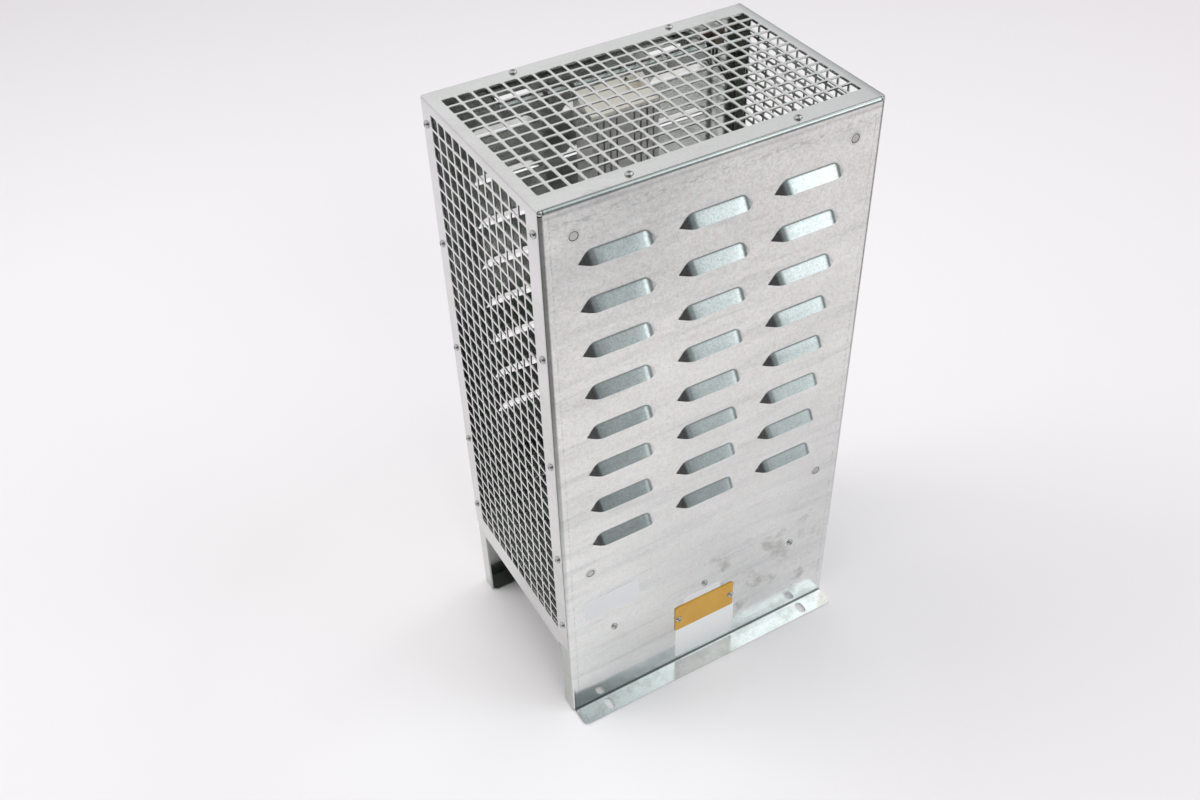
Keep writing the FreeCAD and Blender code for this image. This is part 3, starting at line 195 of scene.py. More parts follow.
PRESS_SOFT = 1.0 * MM
LINE_SOFT = 0.3 * MM
FOOT_UP = (2.1 * MM, 1.6 * MM)
FOOT_LIGHT_ACROSS = (-90.0 * MM, 10.0 * MM)
FOOT_SHADE_ACROSS = (-30.0 * MM, -110.0 * MM)

# Painted shade and light that zinc surfaces share: a darker inside, and a brighter right and a
# darker left of the foot.
INSIDE_SHADE_TONE = (0.72, 0.745, 0.725)
FOOT_LIGHT_TONE = (1.06, 1.05, 1.03)
FOOT_SHADE_TONE = (0.84, 0.86, 0.86)

# Floor of the studio, with painted light and shade: painted brighter at the object's foot, which
# lightens its shadow there, and painted darker far away, like the falloff of a spot-lit floor.
FLOOR_SIZE = 12.0
FLOOR_Z = -0.1 * MM
FLOOR_MIDDLE = (-0.12, 0.35, 0.0)
FAR_FLOOR_SHADE = (0.55, 1.5)
NEAR_MIDDLE = (-0.11, -0.04, 0.0)
NEAR_FLOOR_LIGHT = (0.10, 0.34)
NEAR_FLOOR_LIT_COLOUR = (0.97, 0.935, 0.945)
FLOOR_COLOUR = (0.885, 0.843, 0.86)
FAR_FLOOR_SHADED_COLOUR = (0.79, 0.74, 0.76)

# Surroundings of the studio, by azimuth from +X and elevation, in degrees.
WALL_COLOUR = (0.235, 0.27, 0.285)
CEILING_COLOUR = (0.92, 0.93, 0.925)
CEILING_LEAN = (-0.28, 0.62, 1.0)
CEILING_RISE = (0.42, 0.80)
DARK_COLOUR = (0.07, 0.07, 0.075)
DARK_AZIMUTH = -130.0
DARK_SPREAD = (26.0, 50.0)
WINDOW_COLOUR = (1.52, 1.69, 1.77)
WINDOW_LEAN = 0.05
WINDOW_AZIMUTHS = (-70.9, -50.4, -30.0, -8.0)
WINDOW_HEIGHTS = (8.0, 27.0, 58.0, 74.0)

# Lamps: name, place, size, power and whether metal shows their highlight.
LAMP_TARGET = Vector((0.0, 0.0, 0.25))
LAMPS = (("left_lamp", (-1.5, 0.9, 2.1), 1.0, 14.2, False),
         ("right_lamp", (1.9, 0.3, 1.9), 1.0, 9.6, True),
         ("front_lamp", (-0.1, -2.1, 1.7), 1.2, 13.0, False))

# Place and turn of the camera, found by fitting the hole pattern to the photograph.
CAMERA_POINT = Vector((-0.4113, -0.6644, 0.9357))
VIEW_RIGHT = Vector((0.8668, -0.49788, -0.02784))
VIEW_DOWN = Vector((-0.34939, -0.56655, -0.74629))
LENS_PER_SENSOR = 1268.94 / 1200
SENSOR_WIDTH = 36.0
CLIP_RANGE = (0.01, 50.0)


def rounded(value):
    """A coordinate on a fine grid, so that equal places get equal keys."""
    return round(value, 7)


def mesh_piece(name, points, faces, sharp_angle):
    """Object of a new mesh, smooth except at edges sharper than the angle."""
    mesh = bpy.data.meshes.new(name)
    mesh.from_pydata(points, [], faces)
    mesh.polygons.foreach_set("use_smooth", [True] * len(mesh.polygons))
    mesh.set_sharp_from_angle(angle=math.radians(sharp_angle))
    mesh.update()
    piece = bpy.data.objects.new(name, mesh)
    bpy.context.scene.collection.objects.link(piece)
    return piece


def attach(piece, slot=None, nodes=()):
    """Joins a piece to the box and hides the nodes that it replaces. Its slot argument is not used.
    """
    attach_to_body(piece, "root")
    if nodes:
        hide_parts(*nodes)
    return piece


def ring_faces(rings, count):
    """Quads between rings of points that follow each other."""
    faces = []
    for ring in range(rings - 1):
        for step in range(count):
            a = ring * count + step
            b = ring * count + (step + 1) % count
            faces.append((a, b, b + count, a + count))
    return faces


def ring_points(radius, z, sides):
    """Points of a level circle."""
    angles = [2 * math.pi * step / sides for step in range(sides)]
    return [(radius * math.cos(angle), radius * math.sin(angle), z) for angle in angles]


def sheet_piece(name, cells, place, thickness, flip=False):
    """Sheet metal piece: flat cells are placed twice, one sheet apart, with walls at open edges."""
    index_of = {}
    faces = []
    for cell in cells:
        face = [index_of.setdefault(key, len(index_of)) for key in cell]
        faces.append(face[::-1] if flip else face)
    total = len(index_of)
    points = [place(key, depth) for depth in (0.0, thickness) for key in index_of]
    edges = set()
    for face in faces:
        edges.update(zip(face, face[1:] + face[:1]))
    walls = [(b, a, a + total, b + total) for a, b in sorted(edges) if (b, a) not in edges]
    inner = [[index + total for index in reversed(face)] for face in faces]
    return mesh_piece(name, points, faces + inner + walls, SHEET_CREASE)


def hole_outline(cx, cy, half_x, half_y, corner, steps):
    """Rounded rectangle round a centre, anticlockwise from the middle of its lower side."""
    points = [(cx, cy - half_y)]
    for quarter, (sx, sy) in enumerate(((1, -1), (1, 1), (-1, 1), (-1, -1))):
        if quarter == 2:
            points.append((cx, cy + half_y))
        middle_x = cx + sx * (half_x - corner)
        middle_y = cy + sy * (half_y - corner)
        for step in range(steps + 1):
            angle = math.radians(-90 + 90 * quarter + 90 * step / steps)
            points.append((middle_x + corner * math.cos(angle),
                           middle_y + corner * math.sin(angle)))
    return points


def split_outline(points, cx):
    """Right and left half of an outline whose lower and upper middle points lie on x = cx."""
    upper = max(range(len(points)), key=lambda i: (abs(points[i][0] - cx) < NEAR, points[i][1]))
    return points[:upper + 1], points[upper:] + points[:1]


def holed_tile(x0, x1, y0, y1, outline):
    """Two cells that fill a rectangle round a hole, parted on its upright middle line."""
    cx = (x0 + x1) / 2
    right, left = split_outline(outline, cx)
    right_cell = [(cx, y0), (x1, y0), (x1, y1), (cx, y1)] + right[::-1]
    left_cell = [(cx, y1), (x0, y1), (x0, y0), (cx, y0)] + left[::-1]
    return [right_cell, left_cell]


def keyed(cell):
    """Cell corners as keys of the sheet builder."""
    return [(rounded(x), rounded(y), "") for x, y in cell]


def foot_keys(cell):
    """Cell corners of the foot; the first bend line is shared with the panel body."""
    return [(rounded(x), rounded(w), "" if abs(w - BEND_OUTSIDE) < NEAR else "foot")
            for x, w in cell]


def grid_cells(us, ws, keys=keyed):
    """Keyed cells between two sets of rising lines."""
    return [keys([(u0, w0), (u1, w0), (u1, w1), (u0, w1)])
            for w0, w1 in zip(ws, ws[1:]) for u0, u1 in zip(us, us[1:])]


def lines_between(start, end, steps):
    """Evenly spaced lines from start to end, both with them."""
    return [start + (end - start) * step / steps for step in range(steps + 1)]


def cover_place(key, depth):
    """Puts the unrolled cover in space: u runs up the left side, over the top, down the right."""
    u, y, _ = key
    run = min(u, UNROLLED - u)
    if run <= COVER_BEND_Z:
        x, z = HALF_WIDTH - depth, run
    elif run <= COVER_BEND_Z + COVER_ARC:
        angle = (run - COVER_BEND_Z) / COVER_BEND
        x = HALF_WIDTH - COVER_BEND + (COVER_BEND - depth) * math.cos(angle)
        z = COVER_BEND_Z + (COVER_BEND - depth) * math.sin(angle)
    else:
        x, z = UNROLLED / 2 - run, BOX_HEIGHT - depth
    return (math.copysign(x, u - UNROLLED / 2), y, z)


def cover_lines():
    """Lines along and across the unrolled cover, and the starts of its rows of holes."""
    field_y0 = grille_low[1] - WEB / 2
    columns = round((grille_high[1] + WEB / 2 - field_y0) / PITCH)
    y_lines = [field_y0 + index * PITCH / 2 for index in range(2 * columns + 1)]
    y_lines = [cover_low[1], *y_lines, cover_high[1]]
    side_rows = round((grille_high[2] - grille_low[2] + WEB) / PITCH)
    side_lines = [grille_low[2] - WEB / 2 + index * PITCH for index in range(side_rows + 1)]
    top_rows = round((top_grille_high[0] - top_grille_low[0] + WEB) / PITCH)
    first = UNROLLED / 2 + top_grille_low[0] - WEB / 2
    top_lines = [first + index * PITCH for index in range(top_rows + 1)]
    bend_lines = lines_between(COVER_BEND_Z, COVER_BEND_Z + COVER_ARC, COVER_BEND_STEPS)
    left_lines = side_lines + bend_lines
    right_lines = [UNROLLED - u for u in reversed(left_lines)]
    holed = set()
    for lines in (side_lines, top_lines, [UNROLLED - u for u in reversed(side_lines)]):
        holed.update(rounded(u) for u in lines[:-1])
    return left_lines + top_lines + right_lines, y_lines, holed


def cover_cells(u_lines, y_lines, holed):
    """Cells of the unrolled cover above its hems, two round every hole."""
    cells = []
    hole_lines = y_lines[1:-1:2]
    for u0, u1 in zip(u_lines, u_lines[1:]):
        if rounded(u0) not in holed:
            cells += grid_cells((u0, u1), y_lines)
            continue
        cells += grid_cells((u0, u1), y_lines[:2])
        for y0, y1 in zip(hole_lines, hole_lines[1:]):
            outline = hole_outline((y0 + y1) / 2, (u0 + u1) / 2, HOLE_SIDE / 2, HOLE_SIDE / 2,
                                   HOLE_CORNER, HOLE_STEPS)
            for cell in holed_tile(y0, y1, u0, u1, outline):
                cells.append(keyed([(u, y) for y, u in reversed(cell)]))
        cells += grid_cells((u0, u1), y_lines[-2:])
    return cells


def cover_hem(first_u, y_lines):
    """Outline of the strip under the left field, with its cut corners."""
    cut_front = cover_low[1] + CORNER_RUN
    cut_rear = cover_high[1] - CORNER_RUN
    step_z = COVER_BOTTOM + CORNER_STEP
    slope_z = COVER_BOTTOM + CORNER_RISE
    hem = [(slope_z, cover_low[1])] + [(first_u, y) for y in y_lines]
    return hem + [(slope_z, cover_high[1]), (step_z, cut_rear), (COVER_BOTTOM, cut_rear),
                  (COVER_BOTTOM, cut_front), (step_z, cut_front)]


def make_cover():
    """Punched cover: one sheet over left side, top and right side, with every square hole."""
    u_lines, y_lines, holed = cover_lines()
    hem = cover_hem(u_lines[0], y_lines)
    cells = cover_cells(u_lines, y_lines, holed)
    cells.append(keyed(hem))
    cells.append(keyed([(UNROLLED - u, y) for u, y in reversed(hem)]))
    cover = sheet_piece("punched_cover", cells, cover_place, COVER_STEEL)
    return attach(cover, "zinc_sheet", ("cover_sheet", "grille_top", "grille_left", "grille_right"))


def blend_low(a, b, width):
    """Smooth minimum of two heights."""
    mix = max(width - abs(a - b), 0.0) / width
    return min(a, b) - mix * mix * width / 4


def louvre_height(x, z):
    """Height of a louvre hood above the sheet; x from its middle, z from its cut edge."""
    reach = LOUVRE_REACH + LOUVRE_FILLET / 2
    slope = reach * (1 - z / LOUVRE_RISE)
    run = (LOUVRE_BASE - LOUVRE_CREST) / 2
    side = math.hypot(run, LOUVRE_RISE)
    steepness = reach / ((LOUVRE_BASE - LOUVRE_LIP) / 2 * LOUVRE_RISE / side)
    inside = ((LOUVRE_BASE / 2 - abs(x)) * LOUVRE_RISE - z * run) / side
    height = max(blend_low(slope, steepness * inside, LOUVRE_ROUNDING), 0.0)
    if height < LOUVRE_FILLET:
        return height * height / (2 * LOUVRE_FILLET)
    return height - LOUVRE_FILLET / 2


def louvre_cuts():
    """Cut edge heights of the louvre rows."""
    return [BOX_HEIGHT - LOUVRE_TOP - row * LOUVRE_PITCH_Z for row in range(LOUVRE_ROWS)]


def louvre_middles(out):
    """Middles of the louvre columns of the panel that faces along out."""
    return [(column - (LOUVRE_COLUMNS - 1) / 2) * LOUVRE_PITCH_X + out * LOUVRE_ASIDE
            for column in range(LOUVRE_COLUMNS)]


def panel_lines(out, slots):
    """Grid lines of a louvred panel: fine at the hoods, single lines elsewhere."""
    xs = {FLAT_HALF, -FLAT_HALF, TOP_HALF, -TOP_HALF, FOOT_SLOT_X, -FOOT_SLOT_X}
    zs = {BEND_OUTSIDE, FLAT_TOP, FLAT_TOP - RELIEF}
    for x0, x1, z0, z1 in slots:
        xs.update((x0, x1))
        zs.update((z0, z1))
    insets = [step * LOUVRE_STEP for step in range(-1, LOUVRE_FINE_STEPS)]
    for middle in louvre_middles(out):
        for inset in (*insets, *LOUVRE_COARSE):
            xs.update((middle + LOUVRE_BASE / 2 - inset, middle - LOUVRE_BASE / 2 + inset))
    steps = int(LOUVRE_RISE / LOUVRE_STEP) + 3
    for cut in louvre_cuts():
        zs.update(cut + step * LOUVRE_STEP for step in range(steps))
    return sorted({rounded(x) for x in xs}), sorted({rounded(z) for z in zs})


def hood_lift(x, z, above, out):
    """Outward lift of the sheet at a point of the panel."""
    for cut in louvre_cuts():
        rise = z - cut
        if rise < -NEAR or rise > LOUVRE_RISE:
            continue
        if abs(rise) < NEAR and not above:
            continue
        for middle in louvre_middles(out):
            if abs(x - middle) < LOUVRE_BASE / 2:
                return louvre_height(x - middle, rise)
    return 0.0


def bent(beyond, radius, base):
    """Way on and way aside of a point that lies beyond the start of a bend."""
    angle = min(beyond, PANEL_ARC) / BEND_OUTSIDE
    rest = max(beyond - PANEL_ARC, 0.0)
    return radius * math.sin(angle), base - radius * math.cos(angle) + rest


def panel_place(face, out):
    """Puts the unrolled panel in space; both panels turn their foot to the front."""
    def place(key, depth):
        u, w, zone = key
        radius = BEND_OUTSIDE - depth
        if zone == "foot" and out < 0:
            on, aside = bent(BEND_OUTSIDE - w, BEND_INSIDE + depth, BEND_INSIDE)
            return (u, face + out * aside, BEND_OUTSIDE - on)
        if zone == "foot":
            on, aside = bent(BEND_OUTSIDE - w, radius, BEND_OUTSIDE)
            return (u, face - out * aside, BEND_OUTSIDE - on)
        if abs(u) - FLAT_HALF > NEAR:
            on, aside = bent(abs(u) - FLAT_HALF, radius, BEND_OUTSIDE)
            return (math.copysign(FLAT_HALF + on, u), face - out * aside, w)
        if w - FLAT_TOP > NEAR:
            on, aside = bent(w - FLAT_TOP, radius, BEND_OUTSIDE)
            return (u, face - out * aside, FLAT_TOP + on)
        lift = hood_lift(u, w, zone != "below", out)
        return (u, face + out * (lift - depth), w)
    return place


def body_key(x, z, below, out):
    """Key of a panel point; points on a cut edge exist twice, above and below the cut."""
    on_cut = any(abs(z - cut) < NEAR for cut in louvre_cuts())
    between_tips = any(abs(x - middle) < LOUVRE_BASE / 2 - NEAR for middle in louvre_middles(out))
    zone = "below" if on_cut and between_tips and below else ""
    return (rounded(x), rounded(z), zone)


def body_cells(out, xs, zs, slots):
    """Cells of the flat part of a panel with its hoods, left open at the slots."""
    cells = []
    for z0, z1 in zip(zs, zs[1:]):
        for x0, x1 in zip(xs, xs[1:]):
            x = (x0 + x1) / 2
            z = (z0 + z1) / 2
            if any(a < x < b and low < z < high for a, b, low, high in slots):
                continue
            cells.append([body_key(x0, z0, False, out), body_key(x1, z0, False, out),
                          body_key(x1, z1, True, out), body_key(x0, z1, True, out)])
    return cells


def foot_cells(top_xs, length, half):
    """Cells of the flat foot, cut round its two slots."""
    start = BEND_OUTSIDE - PANEL_ARC
    end = start - length
    angles = [math.radians(90 * step / FOOT_CORNER_STEPS) for step in range(FOOT_CORNER_STEPS + 1)]
    corner = [(half - FOOT_CORNER + FOOT_CORNER * math.sin(angle),
               end + FOOT_CORNER - FOOT_CORNER * math.cos(angle)) for angle in angles]
    slot = hole_outline(FOOT_SLOT_X, end + FOOT_REACH - SLOT_OFFSET, SLOT_WIDTH / 2,
                        SLOT_LENGTH / 2, SLOT_CORNER, SLOT_STEPS)
    right_half, left_half = split_outline(slot, FOOT_SLOT_X)
    cells = []
    for side in (1, -1):
        outer_top = sorted(side * x for x in top_xs if side * x >= FOOT_SLOT_X - NEAR)
        tail = [(FOOT_SLOT_X, end)] + corner + [(half, start)]
        tail += [(x, start) for x in reversed(outer_top)] + right_half[::-1]
        if side < 0:
            tail = [(-x, w) for x, w in reversed(tail)]
        cells.append(foot_keys(tail))
    middle = [(-FOOT_SLOT_X, end), (FOOT_SLOT_X, end)] + left_half[::-1]
    middle += [(x, start) for x in reversed(top_xs) if abs(x) <= FOOT_SLOT_X + NEAR]
    middle += [(-x, w) for x, w in left_half]
    cells.append(foot_keys(middle))
    return cells


def panel_cells(out, slots, foot_length, foot_half):
    """Cells of a louvred panel with its bent flanges and foot."""
    xs, zs = panel_lines(out, slots)
    top_xs = [x for x in xs if abs(x) <= TOP_HALF + NEAR]
    side_zs = [LEG_CLEARANCE] + [z for z in zs if z <= FLAT_TOP - RELIEF + NEAR]
    bend = lines_between(0.0, PANEL_ARC, BEND_STEPS)
    flange = bend + [PANEL_ARC + RETURN_DEPTH - BEND_OUTSIDE]
    cells = body_cells(out, xs, zs, slots)
    cells += grid_cells(top_xs, [FLAT_TOP + way for way in flange])
    cells += grid_cells([FLAT_HALF + way for way in flange], side_zs)
    cells += grid_cells([-FLAT_HALF - way for way in reversed(flange)], side_zs)
    cells += grid_cells(top_xs, [BEND_OUTSIDE - way for way in reversed(bend)], foot_keys)
    return cells + foot_cells(top_xs, foot_length, foot_half)


def rear_slots():
    """Edges of the two long slots near the top of the rear panel."""
    z = BOX_HEIGHT - REAR_SLOT_DROP
    half_x = REAR_SLOT_LENGTH / 2
    half_z = REAR_SLOT_HEIGHT / 2
    outer = HALF_WIDTH - REAR_SLOT_INSET
    return [(x - half_x, x + half_x, z - half_z, z + half_z) for x in (-outer, outer)]


def make_panels():
    """Louvred front and rear panel, each one bent sheet."""
    cells = panel_cells(-1, [], FOOT_REACH - BEND_INSIDE, HALF_WIDTH - FOOT_INSET)
    front = sheet_piece("louvred_front", cells, panel_place(FRONT_Y, -1), STEEL)
    cells = panel_cells(1, rear_slots(), FOOT_REACH - BEND_OUTSIDE, INNER_HALF - STEEL - FIT_GAP)
    rear = sheet_piece("louvred_rear", cells, panel_place(REAR_Y, 1), STEEL, flip=True)
    return (attach(front, "zinc_sheet", ("front_panel",)),
            attach(rear, "zinc_sheet", ("rear_panel",)))


def cross_points(arm, half, z):
    """Twelve corners of an upright cross, anticlockwise."""
    quarter = [(arm, -half), (arm, half), (half, half)]
    points = []
    for c, s in ((1, 0), (0, 1), (-1, 0), (0, -1)):
        points += [(x * c - y * s, x * s + y * c, z) for x, y in quarter]
    return points


def screw_part():
    """Vertices and faces of a pan head with a cross recess, standing on the plane z = 0."""
    radius = SCREW_HEAD / 2
    points = []
    for share, rise in HEAD_PROFILE:
        points += ring_points(radius * share, SCREW_HEAD_HEIGHT * rise, HEAD_SIDES)
    faces = ring_faces(len(HEAD_PROFILE), HEAD_SIDES)
    arm = CROSS_ARM * radius
    half = CROSS_HALF * radius
    arm_share, half_share, height_share = CROSS_FLOOR
    rim = len(points)
    base = rim + CROSS_CORNERS
    points += cross_points(arm, half, SCREW_HEAD_HEIGHT)
    points += cross_points(arm * arm_share, half * half_share, SCREW_HEAD_HEIGHT * height_share)
    for step in range(CROSS_CORNERS):
        a = rim + step
        b = rim + (step + 1) % CROSS_CORNERS
        faces.append((b, a, a + CROSS_CORNERS, b + CROSS_CORNERS))
    faces.append(tuple(range(base, base + CROSS_CORNERS)))
    return points, faces + cap_faces(points, rim - HEAD_SIDES, rim)


def cap_faces(points, outer, inner):
    """Triangles between the head's last circle and the twelve corners of the cross."""
    def turn(index):
        return math.atan2(points[index][1], points[index][0]) % (2 * math.pi)

    def turn_after(ids, step):
        return turn(ids[(step + 1) % len(ids)]) + (2 * math.pi if step + 1 >= len(ids) else 0)

    faces = []
    outer_ids = sorted(range(outer, outer + HEAD_SIDES), key=turn)
    inner_ids = sorted(range(inner, inner + CROSS_CORNERS), key=turn)
    i = 0
    j = 0
    while i < HEAD_SIDES or j < CROSS_CORNERS:
        a = outer_ids[i % HEAD_SIDES]
        b = inner_ids[j % CROSS_CORNERS]
        outer_next = j >= CROSS_CORNERS or turn_after(outer_ids, i) <= turn_after(inner_ids, j)
        if i < HEAD_SIDES and outer_next:
            i += 1
            faces.append((a, outer_ids[i % HEAD_SIDES], b))
        else:
            j += 1
            faces.append((a, inner_ids[j % CROSS_CORNERS], b))
    return faces


def make_screws(name, node, seats, outward):
    """Joined screw heads on their seats, each turned a little differently."""
    shape, outline = screw_part()
    dice = random.Random(name)
    turn = Vector((0, 0, 1)).rotation_difference(Vector(outward)).to_matrix()
    points = []
    faces = []
    for seat in seats:
        spin = Matrix.Rotation(dice.uniform(0, math.pi / 2), 3, "Z")
        start = len(points)
        points += [Vector(seat) + turn @ spin @ Vector(point) for point in shape]
        faces += [[start + index for index in face] for face in outline]
    return attach(mesh_piece(name, points, faces, SCREW_CREASE), "zinc_screw", (node,))


def front_screws(name, node, face_y, columns):
    """Row of screws on the front, as far apart as the CAD node's own."""
    low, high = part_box(node)
    outer = high[0] - SCREW_HEAD / 2
    seats = [(outer * column, face_y, (low[2] + high[2]) / 2) for column in columns]
    return make_screws(name, node, seats, (0, -1, 0))


def make_all_screws():
    """Cover, shelf and plate screws."""
    rows = (FRONT_Y + SCREW_MARGIN, REAR_Y - SCREW_MARGIN)
    levels = [BOX_HEIGHT - SIDE_SCREW_TOP - step * SIDE_SCREW_PITCH
              for step in range(SIDE_SCREW_ROWS)]
    levels.append(COVER_BOTTOM + SIDE_SCREW_LAST)
    pieces = []
    for side, name in ((-1, "left"), (1, "right")):
        seats = [(side * HALF_WIDTH, y, z) for y in rows for z in levels]
        pieces.append(make_screws("screws_" + name, "cover_screws_" + name, seats, (side, 0, 0)))
    top_x = HALF_WIDTH - TOP_SCREW_INSET
    seats = [(x, y, BOX_HEIGHT) for x in (-top_x, top_x) for y in rows]
    pieces.append(make_screws("screws_top", "cover_screws_top", seats, (0, 0, 1)))
    pieces.append(front_screws("screws_shelf", "shelf_screws", FRONT_Y, (-1, 0, 1)))
    pieces.append(front_screws("screws_plate", "plate_screws", plate_low[1], (-1, 1)))
    return pieces


def shrunk(value, inset):
    """Coordinate moved toward zero, if it lies beyond the inset."""
    return value - math.copysign(inset, value) if abs(value) > inset else value


def flat_piece(name, face_y, thickness, middle, size, corner, tilt=0.0):
    """Thin plate or label on the front, with rounded corners and a soft edge."""
    outline = hole_outline(0, 0, size[0] / 2, size[1] / 2, corner, FLAT_STEPS)
    edge = min(thickness * EDGE_SHARE, EDGE_MOST)
    points = []
    c, s = math.cos(tilt), math.sin(tilt)
    for inset, depth in ((0.0, 0.0), (0.0, thickness - edge), (edge, thickness)):
        for x, z in outline:
            x = shrunk(x, inset)
            z = shrunk(z, inset)
            points.append((middle[0] + x * c - z * s, face_y - depth, middle[1] + x * s + z * c))
    total = len(outline)
    faces = ring_faces(3, total)
    faces.append(tuple(range(2 * total, 3 * total)))
    faces.append(tuple(reversed(range(total))))
    return mesh_piece(name, points, faces, FLAT_CREASE)


def make_plate():
    """Bare amber plate."""
    middle = (0, (plate_low[2] + plate_high[2]) / 2)
    size = (plate_high[0] - plate_low[0], plate_high[2] - plate_low[2])
    plate = flat_piece("amber_plate", plate_high[1], plate_high[1] - plate_low[1], middle, size,
                       PLATE_CORNER)
    return attach(plate, "amber_plate", ("front_plate",))


def make_mark(name, x, z):
    """Low round weld mark: a dark ring round a shallow middle."""
    points = []
    for radius, height in MARK_PROFILE:
        points += [(x + px, FRONT_Y - height * MM, z + pz)
                   for px, pz, _ in ring_points(radius * MM, 0, MARK_SIDES)]
    faces = ring_faces(len(MARK_PROFILE), MARK_SIDES)
    faces.append(tuple(range(len(points) - MARK_SIDES, len(points))))
    return attach(mesh_piece(name, points, faces, ROUND_CREASE), "zinc_sheet")


def make_marks():
    """Four weld marks near the corners of the louvred field."""
    places = [(x, z) for x in (-MARK_X, MARK_X) for z in MARK_LEVELS]
    return [make_mark("round_mark_%d" % number, *place) for number, place in enumerate(places, 1)]


def make_bead(name, side):
    """Ball of metal in the corner where the bends of the front panel meet under the cover."""
    x = side * (FLAT_HALF + BEAD_SHIFT)
    middle = (x, FRONT_Y + BEND_OUTSIDE, FLAT_TOP + BEAD_SHIFT)
    radius = BEND_OUTSIDE - BEAD_SLACK
    points = [(0, 0, -radius)]
    for row in range(1, BEAD_ROWS):
        angle = math.pi * row / BEAD_ROWS
        points += ring_points(radius * math.sin(angle), -radius * math.cos(angle), BEAD_SIDES)
    points.append((0, 0, radius))
    last = len(points) - 1
    faces = [[1 + index for index in face] for face in ring_faces(BEAD_ROWS - 1, BEAD_SIDES)]
    for step in range(BEAD_SIDES):
        following = (step + 1) % BEAD_SIDES
        faces.append((0, 1 + following, 1 + step))
        faces.append((last, last - BEAD_SIDES + step, last - BEAD_SIDES + following))
    points = [[a + b for a, b in zip(middle, point)] for point in points]
    return attach(mesh_piece(name, points, faces, ROUND_CREASE), "zinc_sheet")


class Nodes:
    """Adds nodes to a tree and links them."""

    def __init__(self, tree, coordinates):
        self.tree = tree
        self.place = self.node("ShaderNodeTexCoord").outputs[coordinates]

    def node(self, kind, **settings):
        made = self.tree.nodes.new(kind)
        for name, value in settings.items():
            setattr(made, name, value)
        return made

    def feed(self, socket, value):
        """Gives a socket another node's output, a colour or a number."""
        if isinstance(value, bpy.types.NodeSocket):
            self.tree.links.new(value, socket)
        elif socket.type == "RGBA":
            socket.default_value = (*value, 1.0)
        else:
            socket.default_value = value

    def spread(self, value, low, high, to_low=0.0, to_high=1.0, kind="LINEAR"):
        """Value range stretched to another range and clamped."""
        spread = self.node("ShaderNodeMapRange", interpolation_type=kind)
        for socket, source in zip(spread.inputs, (value, low, high, to_low, to_high)):
            self.feed(socket, source)
        return spread.outputs[0]

    def rise(self, value, low, high):
        """Smooth rise from zero to one between two values; falls when low is the larger."""
        return self.spread(value, low, high, kind="SMOOTHSTEP")

    def band(self, value, low, high, soft):
        """One between two values, falling to zero over a soft edge outside."""
        return self.product(self.spread(value, low - soft, low),
                            self.spread(value, high + soft, high))

    def mix(self, factor, first, second, blend="MIX"):
        """Colour between two colours or colour outputs."""
        mix = self.node("ShaderNodeMix", data_type="RGBA", blend_type=blend)
        for index, source in ((0, factor), (6, first), (7, second)):
            self.feed(mix.inputs[index], source)
        return mix.outputs[2]

    def shade(self, base, *pairs):
        """Base colour multiplied by the tint of each pair where the pair's mask is one."""
        for mask, tint in pairs:
            base = self.mix(mask, base, tint, "MULTIPLY")
        return base

    def axis(self, name):
        """One coordinate of the place."""
        split = self.node("ShaderNodeSeparateXYZ")
        self.feed(split.inputs[0], self.place)
        return split.outputs[name]

    def measure(self, operation, vector):
        """Number that a vector operation makes of the place and a fixed vector."""
        made = self.node("ShaderNodeVectorMath", operation=operation)
        self.feed(made.inputs[0], self.place)
        self.feed(made.inputs[1], vector)
        return made.outputs["Value"]

    def math(self, operation, *values):
        made = self.node("ShaderNodeMath", operation=operation)
        for socket, value in zip(made.inputs, values):
            self.feed(socket, value)
        return made.outputs[0]

    def product(self, *factors):
        """Product of several outputs."""
        result = factors[0]
        for factor in factors[1:]:
            result = self.math("MULTIPLY", result, factor)
        return result


class Shader(Nodes):
    """Material under construction: a principled surface and the textures that feed it."""

    def __init__(self, name, **values):
        self.material = bpy.data.materials.new(name)
        self.material.use_nodes = True
        super().__init__(self.material.node_tree, "Object")
        self.surface = self.tree.nodes["Principled BSDF"]
        for socket, value in values.items():
            self.surface.inputs[socket.replace("_", " ")].default_value = value

    def noise(self, scale, detail=3.0, roughness=0.55, stretch=(1, 1, 1), distortion=0.0):
        """Noise over the object's coordinates, scaled per axis for grain with a direction."""
        mapping = self.node("ShaderNodeMapping")
        self.feed(mapping.inputs["Scale"], stretch)
        self.feed(mapping.inputs["Vector"], self.place)
        noise = self.node("ShaderNodeTexNoise")
        for socket, value in (("Scale", scale), ("Detail", detail), ("Roughness", roughness),
                              ("Distortion", distortion), ("Vector", mapping.outputs["Vector"])):
            self.feed(noise.inputs[socket], value)
        return noise.outputs["Fac"]

    def bump(self, height, strength, distance, normal=None):
        bump = self.node("ShaderNodeBump")
        self.feed(bump.inputs["Height"], height)
        self.feed(bump.inputs["Strength"], strength)
        self.feed(bump.inputs["Distance"], distance)
        if normal is not None:
            self.feed(bump.inputs["Normal"], normal)
        return bump.outputs["Normal"]

    def finish(self, colour, roughness=None, normal=None):
        for socket, value in (("Base Color", colour), ("Roughness", roughness), ("Normal", normal)):
            if value is not None:
                self.feed(self.surface.inputs[socket], value)
        return self.material


def scaled(colour, factor):
    """Colour made darker or lighter, at most one in each part."""
    return tuple(min(1.0, factor * part) for part in colour)


